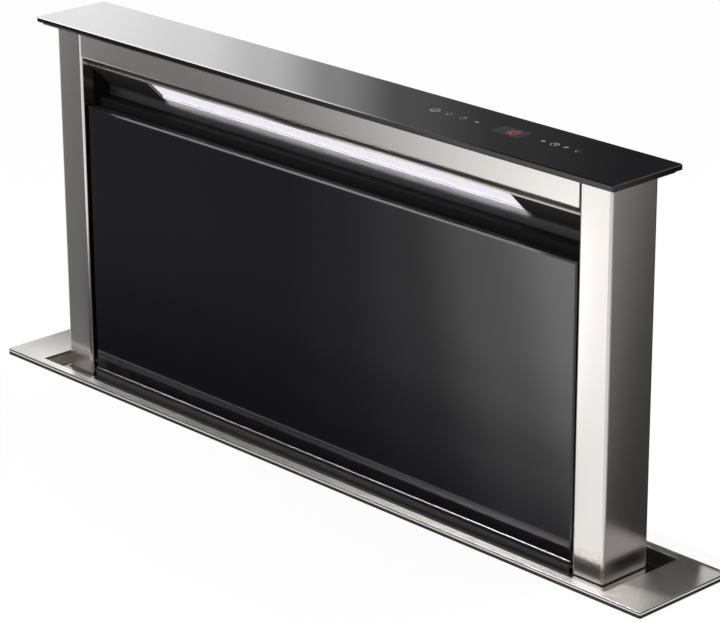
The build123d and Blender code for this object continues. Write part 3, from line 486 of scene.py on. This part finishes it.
# Cold-rolled stainless sheet of the tower, brushed along the rail.
finishes["brushed_steel"] = brushed_steel("steel_brushed_lengthwise", "#CFCBC8", 0.22, "x", 0.6)
# The trim is brushed longest, and its highlight smears widest.
finishes["trim_steel"] = brushed_steel("steel_trim_fine_brushed", "#D2CECB", 0.26, "x", 0.9)
# The uprights are brushed level, so that the grain runs on round their folded corner.
upright_steel = brushed_steel("steel_brushed_upright", "#CFCBC8", 0.17, "xy", 0.6, 0.002)
# The ledge in the recess is polished after the belt, and the strip under the glass left satin.
ledge_steel = brushed_steel("steel_polished_ledge", "#B8B4B0", 0.13, "x", 0.4)
# The strip's darker grey is painted shade, which dims what its mirror shows.
strip_steel_painted_shade = brushed_steel("steel_satin_strip_painted_shade", "#9A9693", 0.26, "x", 0.5)
print("steel grain drawn", scratch_width, "mm wide")

# %% [markdown]
# Black glass is float glass 5 mm thick with ceramic ink fired onto its back. The eye sees a deep
# black under a hard gloss, whose mirror grows stronger at a flat angle. A dark base under an index
# of 1.52 does both. The ink has no pattern, and a polished sheet is never quite flat, so a very
# slow wave, some 170 mm long, bends its mirror a little, and wiping leaves a haze of 1 mm specks.

# %% Black glass
wave_scale, haze_scale, haze = 6.0, 900.0, 0.03


def black_glass(name, code, roughness):
    """Glass over dark ink, with a slow wave and a wiped haze."""
    material, tree, shader = start_finish(name, {"IOR": 1.52, "Specular IOR Level": 0.5})
    spot = add(tree, "TexCoord")
    wave = add(tree, "TexNoise", {"Vector": spot.outputs["Object"], "Scale": wave_scale,
                                  "Detail": 1.0})
    bump = add(tree, "Bump", {"Height": wave.outputs["Fac"], "Strength": 0.05, "Distance": mm(0.4)})
    specks = add(tree, "TexNoise", {"Vector": spot.outputs["Object"], "Scale": haze_scale,
                                    "Detail": 2.0})
    wiped = add(tree, "MapRange", {"Value": specks.outputs["Fac"], "To Min": roughness,
                                   "To Max": roughness + haze})
    depth = add(tree, "Mix", {0: wave.outputs["Fac"], 6: colour(code),
                              7: tuple(c * 1.3 for c in colour(code))}, data_type="RGBA")
    tree.links.new(depth.outputs[2], shader.inputs["Base Color"])
    tree.links.new(wiped.outputs[0], shader.inputs["Roughness"])
    tree.links.new(bump.outputs[0], shader.inputs["Normal"])
    return material


finishes["black_glass"] = black_glass("glass_black_enamelled", "#0B0B0E", 0.02)
# The front glass carries more haze than the top, so its mirror is a little softer.
front_glass_finish = black_glass("glass_black_front", "#0D0D11", 0.05)
print("the glass is wavy over", round(in_mm(1 / wave_scale)), "mm")

# %% [markdown]
# Galvanised steel is sheet dipped in zinc. The zinc freezes into flat crystals, the spangle, 2 to
# 8 mm across, each a slightly different grey. Voronoi cells are such crystals.

# %% Galvanised steel
spangle_size = 6
material, tree, shader = start_finish("steel_hot_dip_galvanised", {"Metallic": 1.0})
spot = add(tree, "TexCoord")
cells = add(tree, "TexVoronoi", {"Vector": spot.outputs["Object"], "Scale": 1000 / spangle_size})
grey = add(tree, "SeparateColor", {"Color": cells.outputs["Color"]})
tint = add(tree, "Mix", {0: grey.outputs[0], 6: colour("#989C9F"), 7: colour("#B4B7B9")},
           data_type="RGBA")
gloss = add(tree, "MapRange", {"Value": grey.outputs[1], "To Min": 0.36, "To Max": 0.52})
bump = add(tree, "Bump", {"Height": grey.outputs[2], "Strength": 0.1, "Distance": mm(0.05)})
tree.links.new(tint.outputs[2], shader.inputs["Base Color"])
tree.links.new(gloss.outputs[0], shader.inputs["Roughness"])
tree.links.new(bump.outputs[0], shader.inputs["Normal"])
finishes["galvanised_steel"] = material
print("spangle", spangle_size, "mm")

# %% [markdown]
# Painted and moulded pieces have a skin with a fine random texture: powder paint shows orange
# peel, rubber and plastic show the grain of their mould, ground and turned metal that of the tool.
# They differ in colour, gloss, and how coarse the texture is, so one recipe makes them all, and each
# says what it is.

# %% Painted, moulded and machined skins
gloss_spread = 0.06


def skin(name, code, shade, roughness, grain_size, depth, sockets=None):
    """A skin of two close shades with a random texture, its grain size and depth in millimetres."""
    material, tree, shader = start_finish(name, sockets or {})
    spot = add(tree, "TexCoord")
    grain = add(tree, "TexNoise", {"Vector": spot.outputs["Object"], "Scale": 1000 / grain_size,
                                   "Detail": 3.0})
    tint = add(tree, "Mix", {0: grain.outputs["Fac"], 6: colour(code), 7: colour(shade)},
               data_type="RGBA")
    gloss = add(tree, "MapRange", {"Value": grain.outputs["Fac"], "To Min": roughness - gloss_spread,
                                   "To Max": roughness + gloss_spread})
    bump = add(tree, "Bump", {"Height": grain.outputs["Fac"], "Strength": 0.3, "Distance": mm(depth)})
    tree.links.new(tint.outputs[2], shader.inputs["Base Color"])
    tree.links.new(gloss.outputs[0], shader.inputs["Roughness"])
    tree.links.new(bump.outputs[0], shader.inputs["Normal"])
    return material


# Powder paint, satin black, on the folded sheet behind the glass: orange peel about 1.5 mm.
finishes["dark_sheet"] = skin("steel_powder_painted_black", "#262729", "#2D2E31", 0.38, 1.5, 0.03,
                              {"IOR": 1.5})
# The sheets behind the slot get a near-black matt finish, which is painted shade for the deep
# shade of the hollow, and which hardly shines at all.
inner_sheet_painted_shade = skin("steel_matt_painted_shade_inside", "#0C0C0D", "#121213", 0.6, 1.5, 0.03,
                   {"IOR": 1.5, "Specular IOR Level": 0.12})
# Extruded rubber of the seals: matt, with a fine chalky grain.
finishes["black_rubber"] = skin("rubber_extruded_black", "#131314", "#1E1E1F", 0.62, 0.8, 0.05,
                                {"IOR": 1.5})
# Injection-moulded plastics: spark-eroded moulds leave a grain of about 0.6 mm.
finishes["black_plastic"] = skin("nylon_moulded_black", "#1B1C1D", "#232425", 0.48, 0.6, 0.04,
                                 {"IOR": 1.46})
finishes["grey_plastic"] = skin("plastic_moulded_grey", "#7C8084", "#868A8E", 0.45, 0.6, 0.04,
                                {"IOR": 1.46})
# The bearings are turned from white acetal, and the display's body is moulded in smoked acrylic.
finishes["bearing_plastic"] = skin("acetal_turned_white", "#DEDCD2", "#E9E7DF", 0.35, 0.5, 0.02,
                                   {"IOR": 1.48})
finishes["display_plastic"] = skin("display_moulded_smoke", "#26231F", "#2E2B27", 0.25, 0.5, 0.01,
                                   {"IOR": 1.49})
# Motor cans are dip painted: a smooth grey with a slight sag.
finishes["motor_paint"] = skin("motor_dip_painted_grey", "#4A4E52", "#54585C", 0.34, 3.0, 0.04,
                               {"IOR": 1.5})
# Rods and shafts are ground, nuts are turned from brass, and thin profiles are anodised.
finishes["ground_steel"] = skin("steel_ground_bright", "#B9BABB", "#C9CACB", 0.22, 0.6, 0.01,
                                {"Metallic": 1.0})
finishes["brass"] = skin("brass_turned", "#C9A25C", "#D6B26E", 0.28, 0.6, 0.01, {"Metallic": 1.0})
finishes["aluminium"] = skin("aluminium_anodised_satin", "#B4B6B9", "#C0C2C5", 0.34, 0.8, 0.02,
                             {"Metallic": 1.0})
print("finishes so far:", len(finishes))

# %% [markdown]
# The deflector behind the suction slot is stainless sheet that was blackened in a bath, so that
# grease doesn't show. The bath leaves a smooth satin skin, part metal and part oxide, which spreads
# the lamp's light into one soft glow.

# %% Blackened deflector
finishes["deflector_sheet"] = skin("steel_blackened_satin", "#323234", "#363638", 0.44, 4.0, 0.004,
                                   {"Metallic": 0.35})
print("the deflector gets", finishes["deflector_sheet"].name)

# %% [markdown]
# A grease filter holds layers of slit and stretched aluminium, whose strands make a net of
# diamonds, 16 mm long and 10 mm high. Two ping-pong waves at a slant cross to such diamonds. Such a
# wave repeats every 2 units. Light strands stand above dark openings.

# %% Stretched aluminium mesh
diamond_x, diamond_z = 16, 10
material, tree, shader = start_finish("aluminium_expanded_mesh", {"Metallic": 1.0, "Roughness": 0.38})
spot = add(tree, "TexCoord")
parts = add(tree, "SeparateXYZ", {0: spot.outputs["Object"]})
across = add(tree, "Math", {0: parts.outputs[0], 1: 2000 / diamond_x}, operation="MULTIPLY")
upward = add(tree, "Math", {0: parts.outputs[2], 1: 2000 / diamond_z}, operation="MULTIPLY")
strands = []
for operation in ("ADD", "SUBTRACT"):
    slope = add(tree, "Math", {0: across.outputs[0], 1: upward.outputs[0]}, operation=operation)
    strands.append(add(tree, "Math", {0: slope.outputs[0], 1: 1.0}, operation="PINGPONG"))
net = add(tree, "Math", {0: strands[0].outputs[0], 1: strands[1].outputs[0]}, operation="MINIMUM")
strand = add(tree, "MapRange", {"Value": net.outputs[0], "From Min": 0.12, "From Max": 0.3,
                                "To Min": 1.0, "To Max": 0.0})
tint = add(tree, "Mix", {0: strand.outputs[0], 6: colour("#1C1D1E"), 7: colour("#BFC1C4")},
           data_type="RGBA")
bump = add(tree, "Bump", {"Height": strand.outputs[0], "Strength": 0.8, "Distance": mm(0.5)})
tree.links.new(tint.outputs[2], shader.inputs["Base Color"])
tree.links.new(bump.outputs[0], shader.inputs["Normal"])
finishes["aluminium_mesh"] = material
print("mesh of", diamond_x, "by", diamond_z, "mm")

# %% [markdown]
# A circuit board is glass fibre under green lacquer, with copper runs that show through as a
# lighter green. A brick pattern with thin mortar stands for the runs, each brick half a unit of the
# pattern's scale long.

# %% Circuit board
runs_scale = 120.0
material, tree, shader = start_finish("board_lacquered_green", {"Roughness": 0.35, "IOR": 1.5})
spot = add(tree, "TexCoord")
runs = add(tree, "TexBrick", {"Vector": spot.outputs["Object"], "Color1": colour("#1E5A3A"),
                              "Color2": colour("#245F40"), "Mortar": colour("#3C8458"),
                              "Scale": runs_scale, "Mortar Size": 0.04})
bump = add(tree, "Bump", {"Height": runs.outputs["Fac"], "Strength": 0.4, "Distance": mm(0.05)})
tree.links.new(runs.outputs["Color"], shader.inputs["Base Color"])
tree.links.new(bump.outputs[0], shader.inputs["Normal"])
finishes["circuit_board"] = material
print("copper runs every", round(in_mm(0.5 / runs_scale), 1), "mm")

# %% [markdown]
# The lamp's lens is opal acrylic, 3 mm thick, frosted on the inside. Behind it stands a row of
# light-emitting diodes, and the frosting melts them into one even band that is only slightly
# cooler than white. Emission at a level near 1 shows the band without burning it out.

# %% Opal lens
led_pitch = 16
# A wave of scale 1 repeats every 0.31 units, which is close to 1 / pi.
material, tree, shader = start_finish("acrylic_opal_lit", {
    "Base Color": colour("#8C8A90"), "Roughness": 0.3, "IOR": 1.49, "Emission Strength": 0.86,
})
spot = add(tree, "TexCoord")
beads = add(tree, "TexWave", {"Vector": spot.outputs["Object"], "Scale": 1000 / led_pitch / math.pi,
                              "Distortion": 0.0}, wave_type="BANDS", bands_direction="X")
hot = add(tree, "Mix", {0: beads.outputs["Fac"], 6: colour("#EBE8EF"), 7: colour("#F2F0F5")},
          data_type="RGBA")
tree.links.new(hot.outputs[2], shader.inputs["Emission Color"])
finishes["milky_lens"] = material
print("diodes every", led_pitch, "mm behind the lens")

# %% [markdown]
# Each solid of the frame carries the name of its finish in its material slots. They are swapped
# for the finishes made above. Some pieces differ from the rest of their kind and get a finish of
# their own: the uprights with their level grain, the front glass, the strip, whose darker steel is
# painted shade, the ledge, the sheets behind the slot, near black as painted shade, and the lamp's
# trough.

# %% Dress the frame
# The trough is rolled aluminium, left bare and smooth.
rolled_aluminium = skin("aluminium_rolled_smooth", "#B4B6B9", "#BABCBF", 0.36, 4.0, 0.002,
                        {"Metallic": 1.0})
own_finish = {
    "right_upright": upright_steel,
    "left_upright": upright_steel,
    "front_glass": front_glass_finish,
    "panel_trim": strip_steel_painted_shade,
    "ledge_tray": ledge_steel,
    "lamp_housing": rolled_aluminium,
    # The posts, the filter channels and the panel tray are near black as painted shade.
    "posts": inner_sheet_painted_shade,
    "filter_channels": inner_sheet_painted_shade,
    "panel_tray": inner_sheet_painted_shade,
}
for name, node in nodes.items():
    for slot in node.material_slots:
        slot_name = slot.material.name.split(".")[0]
        slot.material = own_finish.get(name, finishes[slot_name])
print("dressed", len(nodes), "nodes,", len(own_finish), "of them with a finish of their own")

# %% [markdown]
# The band of the lamp lights the hollow behind the suction slot. The lens's own emission is only
# what the eye sees. A long narrow lamp in the slot, with a tight spread, gives the soft glow that
# the real band throws on the sheet just under it.

# %% Light of the lamp
# It hangs in the slot just before the foot of the lens and looks back at the sheet behind it.
glow_place, glow_aim = (0, -5, 316.2), (0, 3.5, 313.4)
glow_size, glow_watts, glow_spread = (500, 3), 0.42, 55
glow = soft_lamp("lens_light", glow_place, glow_aim, glow_size, glow_watts)
glow.data.spread = math.radians(glow_spread)
glow.parent = frame["bodies"]["tower"]
lens_low, lens_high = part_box("lamp_lens")
print("lens from", round(in_mm(lens_low.z), 1), "to", round(in_mm(lens_high.z), 1), "mm up")

# %% [markdown]
# Two frames lie under the tower: the steel trim, and the rubber strip that seals it to the worktop.
# Both are rings with one section all round, so one function makes them: the section is a list of
# steps, each how far out it lies in x and in y and how high, and each step becomes a ring with
# rounded corners.

# %% A ring from a section
ring_corner, corner_steps = 1.5, 4


def arc(x, y, radius, start=0, end=360, parts=28):
    """Points on a circle from one angle to another, in degrees."""
    angles = [math.radians(start + (end - start) * i / parts) for i in range(parts + 1)]
    return [(x + radius * math.cos(a), y + radius * math.sin(a)) for a in angles]


def round_cornered(x, y, half_x, half_y, corner):
    """Points round a rectangle about a middle, its corners small arcs."""
    points = []
    for x_side, y_side, start in ((1, 1, 0), (-1, 1, 90), (-1, -1, 180), (1, -1, 270)):
        corner_x, corner_y = x + x_side * (half_x - corner), y + y_side * (half_y - corner)
        points += arc(corner_x, corner_y, corner, start, start + 90, corner_steps)
    return points


def ring_mesh(name, section, material):
    """A closed ring whose section is a list of half length, half width and height."""
    points = [(x, y, z) for half_x, half_y, z in section
              for x, y in round_cornered(0, 0, half_x, half_y, ring_corner)]
    around = len(points) // len(section)
    faces = []
    for i in range(len(section)):
        j = (i + 1) % len(section)
        for k in range(around):
            n = (k + 1) % around
            faces.append([j * around + k, j * around + n, i * around + n, i * around + k])
    return mesh_object(name, points, faces, material)


def box_half(node):
    """Half the length and half the width of a node, and its lowest and highest z, in mm."""
    low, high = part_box(node)
    return in_mm(high.x - low.x) / 2, in_mm(high.y - low.y) / 2, in_mm(low.z), in_mm(high.z)


print("points round a ring:", 4 * (corner_steps + 1))

# %% [markdown]
# The trim is two sheets glued on each other and brushed as one. The joint shows as a dark line
# round the edge, under a bright arris, so the section gets a groove there, filled with a black rubber
# glue. The walls of the recess that the eye meets, at the rear and on the left, get the same black
# rubber as painted shade, for the shade that falls in the recess.

# %% Trim of two sheets
half_x, half_y, low_z, high_z = box_half("trim_plate")
# Half the length and half the width of the recess that takes the glass top.
recess_x, recess_y = 400, 49.5
arris, groove_depth = 0.4, 0.3
groove_low, groove_high = high_z - 1.6, high_z - 0.5
trim_section = [
    (half_x - arris, half_y - arris, high_z), (half_x, half_y, high_z - arris),
    (half_x, half_y, groove_high), (half_x - groove_depth, half_y - groove_depth, groove_high),
    (half_x - groove_depth, half_y - groove_depth, groove_low), (half_x, half_y, groove_low),
    (half_x, half_y, low_z), (recess_x, recess_y, low_z), (recess_x, recess_y, high_z - arris),
    (recess_x + arris, recess_y + arris, high_z),
]
trim = ring_mesh("trim_two_sheets", trim_section, finishes["trim_steel"])

# The faces between two steps of the section follow each other in the mesh. A wall's face counts as
# rear or left when its middle is within half a percent of that wall.
groove_steps, wall_step, wall_share = (2, 3, 4), 7, 0.995
faces_round = len(trim.data.polygons) // len(trim_section)
trim.data.materials.append(finishes["black_rubber"])
for face in trim.data.polygons:
    step = face.index // faces_round
    left_wall_shade = face.center.x < mm(-recess_x) * wall_share
    rear_wall_shade = face.center.y > mm(recess_y) * wall_share
    # Painted shade: the left and rear walls of the recess get the black rubber.
    if step in groove_steps or (step == wall_step and (left_wall_shade or rear_wall_shade)):
        face.material_index = 1
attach(trim, "housing")
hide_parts("trim_plate")
print("trim", round(2 * half_x, 1), "by", round(2 * half_y, 1), "groove at", round(groove_low, 1))

# %% [markdown]
# The seal is an extruded rubber strip. Its outer edge has three soft ribs, which show as dark and
# light lines under the trim, and it comes out flush with the trim.

# %% Ribbed seal
_, _, low_z, high_z = box_half("worktop_seal")
edge_clear, top_inset = 0.2, 1.5
inner_x, inner_y = cutout_x + edge_clear, cutout_y + edge_clear
rib_depth, rib_count, rib_clear = 0.6, 3, 0.1
rib = (high_z - low_z - rib_clear) / rib_count
section = [(inner_x, inner_y, low_z)]
for i in range(rib_count):
    for inset, share in ((rib_depth, 0.0), (0, 0.25), (0, 0.7), (rib_depth, 0.95)):
        section.append((half_x - inset, half_y - inset, low_z + (i + share) * rib))
section += [(half_x - top_inset, half_y - top_inset, high_z), (inner_x, inner_y, high_z)]
seal = ring_mesh("ribbed_seal", section, finishes["black_rubber"])
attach(seal, "housing")
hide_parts("worktop_seal")
print("seal of", rib_count, "ribs,", round(rib, 2), "mm each")

# %% [markdown]
# Several small pieces keep one section along a straight line: the hem of the rail and the rims of
# the lamp. A prism does for all of them: the same ring of points twice, the sides between the two
# rings, and a face at each end.

# %% A prism between two rings
def prism(name, near_ring, far_ring, material):
    """A closed bar between two rings of points. It rides on the tower."""
    count = len(near_ring)
    faces = [[i, (i + 1) % count, (i + 1) % count + count, i + count] for i in range(count)]
    faces += [list(range(count))[::-1], list(range(count, 2 * count))]
    made = mesh_object(name, near_ring + far_ring, faces, material)
    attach(made, "tower")
    return made


# %% [markdown]
# The rail's sheet is folded back under its lower edge, and the fold ends in a hem: the raw edge is
# turned over on itself, so it is round and blunt to the hand. The hem catches the light as a thin
# line over the lamp.

# %% Hem of the rail
hem_radius, hem_sides, hem_clear = 0.7, 10, 0.4
# The middle of the hem, where the fold under the rail ends.
hem_y, hem_z = -20.6, 335.6
rail_low, rail_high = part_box("top_rail")
hem_half = in_mm(rail_high.x - rail_low.x) / 2 - hem_clear
hem_angles = [2 * math.pi * i / hem_sides for i in range(hem_sides)]
hem_rings = [[(x, hem_y + hem_radius * math.cos(a), hem_z + hem_radius * math.sin(a))
              for a in hem_angles] for x in (-hem_half, hem_half)]
hem = prism("rail_hem", *hem_rings, finishes["brushed_steel"])
for face in hem.data.polygons:
    face.use_smooth = len(face.vertices) == 4
print("hem", round(2 * hem_half, 1), "mm long")

# %% [markdown]
# A rim runs round the lens. Along the lens's foot it is a lip of acrylic whose glow is painted
# light: emission that draws a bright line at the lens's foot. At the ends it is a narrow strip of
# aluminium on the slope.

# %% Rims of the lamp
lens_half = in_mm(lens_high.x - lens_low.x) / 2
# The lip lies on the slope, 2.5 mm wide and 0.6 mm thick. Its section is in y and z.
foot_section = [(0.3, 315.0), (-1.5, 316.8), (-1.1, 317.2), (0.7, 315.4)]
foot_rings = [[(x, y, z) for y, z in foot_section] for x in (-lens_half, lens_half)]
# Acrylic, sawn and flame polished: dark by itself, with a painted glow along its edge.
edge_painted_glow_finish = skin("acrylic_edge_painted_glow", "#1C1B1E", "#201F22", 0.4, 2.0, 0.002, {
    "IOR": 1.49, "Emission Color": colour("#F1EEF4"), "Emission Strength": 0.6,
})
foot_rim = prism("lens_foot_rim", *foot_rings, edge_painted_glow_finish)

# Thin strips of anodised aluminium lie on the slope, from the lens's foot to its head.
rim_width, rim_rise, rim_clear = 0.9, 0.35, 1.8
slope_foot, slope_head = (0.2, 315.3), (-19.6, 335.1)
for end, side_sign in (("left", -1), ("right", 1)):
    near_x = side_sign * (lens_half + rim_clear)
    far_x = near_x + side_sign * rim_width
    end_rings = [[(near_x, y, z), (far_x, y, z), (far_x, y - rim_rise, z - rim_rise),
                  (near_x, y - rim_rise, z - rim_rise)] for y, z in (slope_foot, slope_head)]
    end_rim = prism("lens_" + end + "_rim", *end_rings, finishes["aluminium"])
print("lens", round(2 * lens_half), "mm long between its rims")

# %% [markdown]
# The touch field is printed on the glass in grey enamel: plain signs for on, fan, timer, less,
# more, clock, filter and lamp. Each sign is a few strokes. A stroke is a line of points with a
# width, and the function lays a quad along each piece of it.

# %% Strokes
overrun = 0.3


def strokes_mesh(name, strokes, z, material):
    """One flat mesh of many strokes, each a width and a list of points.

    A quad runs past its ends by a share of its width, which closes the corners of the line."""
    points, faces = [], []
    for width, line in strokes:
        for a, b in zip(line, line[1:]):
            a, b = Vector(a), Vector(b)
            run = (b - a).normalized()
            out = Vector((-run.y, run.x)) * width / 2
            a, b = a - run * width * overrun, b + run * width * overrun
            first = len(points)
            points += [(*(a - out), z), (*(b - out), z), (*(b + out), z), (*(a + out), z)]
            faces.append([first, first + 1, first + 2, first + 3])
    return mesh_object(name, points, faces, material)


print("strokes overrun their ends by", overrun, "of their width")

# %% [markdown]
# The signs stand in a row along the right half of the glass, a finger's width apart, on both sides
# of the display. The print is 0.02 mm thick on the real glass. Here it lies 0.06 mm above it, so
# that the renderer can tell the two apart.

# %% Touch signs
glass_z = in_mm(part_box("glass_top")[1].z)
sign_lift = 0.06
row_y, line_width = 7.5, 0.6
signs = []


def sign(lines, width=line_width):
    """Adds lines of one width to the signs."""
    signs.extend((width, line) for line in lines)


on_x, fan_x, timer_x, less_x = 129, 147, 165, 182
more_x, clock_x, filter_x, lamp_x = 264, 278, 290, 306
sign([arc(on_x, row_y, 4.6), [(on_x + 1.8, row_y + 2.7), (on_x - 1.8, row_y - 2.7)]], 0.65)
for blade in (0, 90, 180, 270):
    a = math.radians(blade)
    blade_x, blade_y = fan_x + 2.0 * math.cos(a), row_y + 2.0 * math.sin(a)
    sign([arc(blade_x, blade_y, 1.2, blade - 60, blade + 120, 8)])
sign([arc(timer_x, row_y, 3.0, 60, 390), [(timer_x, row_y + 3.9), (timer_x, row_y + 1.4)]])
sign([[(less_x - 2, row_y), (less_x + 2, row_y)]], 0.8)
sign([[(more_x - 2, row_y), (more_x + 2, row_y)], [(more_x, row_y - 2), (more_x, row_y + 2)]], 0.8)
sign([arc(clock_x, row_y, 4.0),
      [(clock_x, row_y + 2.3), (clock_x, row_y), (clock_x + 2, row_y - 0.9)]], 0.65)
sign([[(filter_x, row_y + 1.8), (filter_x + 3.4, row_y + 1.8)],
      [(filter_x, row_y), (filter_x + 2.6, row_y)],
      [(filter_x, row_y - 2.0), (filter_x, row_y + 1.8)]])
sign([arc(lamp_x, row_y, 2.4, 130, 410), [(lamp_x - 1, row_y - 3.2), (lamp_x + 1, row_y - 3.2)]])

# Grey enamel, screen printed and fired on.
sign_ink = skin("enamel_printed_grey", "#C9C9CA", "#D4D4D5", 0.45, 0.4, 0.01, {"IOR": 1.5})
touch_signs = strokes_mesh("touch_signs", signs, glass_z + sign_lift, sign_ink)
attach(touch_signs, "tower")
print("signs in", len(signs), "strokes")

# %% [markdown]
# Two red digits, of up to seven bars each, glow through a smoked window between the signs. The
# window is the part of the glass that the black print leaves thin, so it looks a shade lighter.

# %% Display window and digits
window_x, window_half_x, window_half_y, window_corner = 225, 17, 10, 1.0
window_lift, digit_lift = 0.03, 0.07
outline = round_cornered(window_x, row_y, window_half_x, window_half_y, window_corner)
# Glass with a thin smoke-coloured print, polished like the rest.
window_glass = skin("glass_smoked_window", "#2A2C28", "#2F312D", 0.08, 0.5, 0.002, {"IOR": 1.52})
display_window = mesh_object("display_window", [(x, y, glass_z + window_lift) for x, y in outline],
                             [list(range(len(outline)))], window_glass)
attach(display_window, "tower")

digit_width, digit_height, digit_gap = 5.6, 10.4, 3.6
bar_width, bar_inset = 0.85, 0.12
bars = {"top": ((0, 2), (1, 2)), "upper_right": ((1, 2), (1, 1)), "lower_right": ((1, 1), (1, 0)),
        "bottom": ((0, 0), (1, 0)), "lower_left": ((0, 0), (0, 1)), "upper_left": ((0, 1), (0, 2)),
        "middle": ((0, 1), (1, 1))}
shown = [("upper_right", "lower_right"),
         ("top", "upper_right", "lower_right", "bottom", "lower_left", "upper_left")]
digit_lines = []
for place_number, names in enumerate(shown):
    left = window_x + (place_number - 1) * (digit_width + digit_gap) + digit_gap / 2
    for name in names:
        start, end = [Vector((left + x * digit_width, row_y + (y - 1) * digit_height / 2))
                      for x, y in bars[name]]
        digit_lines.append((bar_width, [start.lerp(end, bar_inset), end.lerp(start, bar_inset)]))
# Diodes under red tinted acrylic: a red of its own, and a little light.
material, tree, shader = start_finish("display_bar_red", {
    "Roughness": 0.4, "IOR": 1.49, "Emission Strength": 0.55,
})
spot = add(tree, "TexCoord")
uneven = add(tree, "TexNoise", {"Vector": spot.outputs["Object"], "Scale": 700.0})
red = add(tree, "Mix", {0: uneven.outputs["Fac"], 6: colour("#A31F1F"), 7: colour("#C92A26")},
          data_type="RGBA")
tree.links.new(red.outputs[2], shader.inputs["Base Color"])
tree.links.new(red.outputs[2], shader.inputs["Emission Color"])
display_digits = strokes_mesh("display_digits", digit_lines, glass_z + digit_lift, material)
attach(display_digits, "tower")
print("digits of", len(digit_lines), "bars")
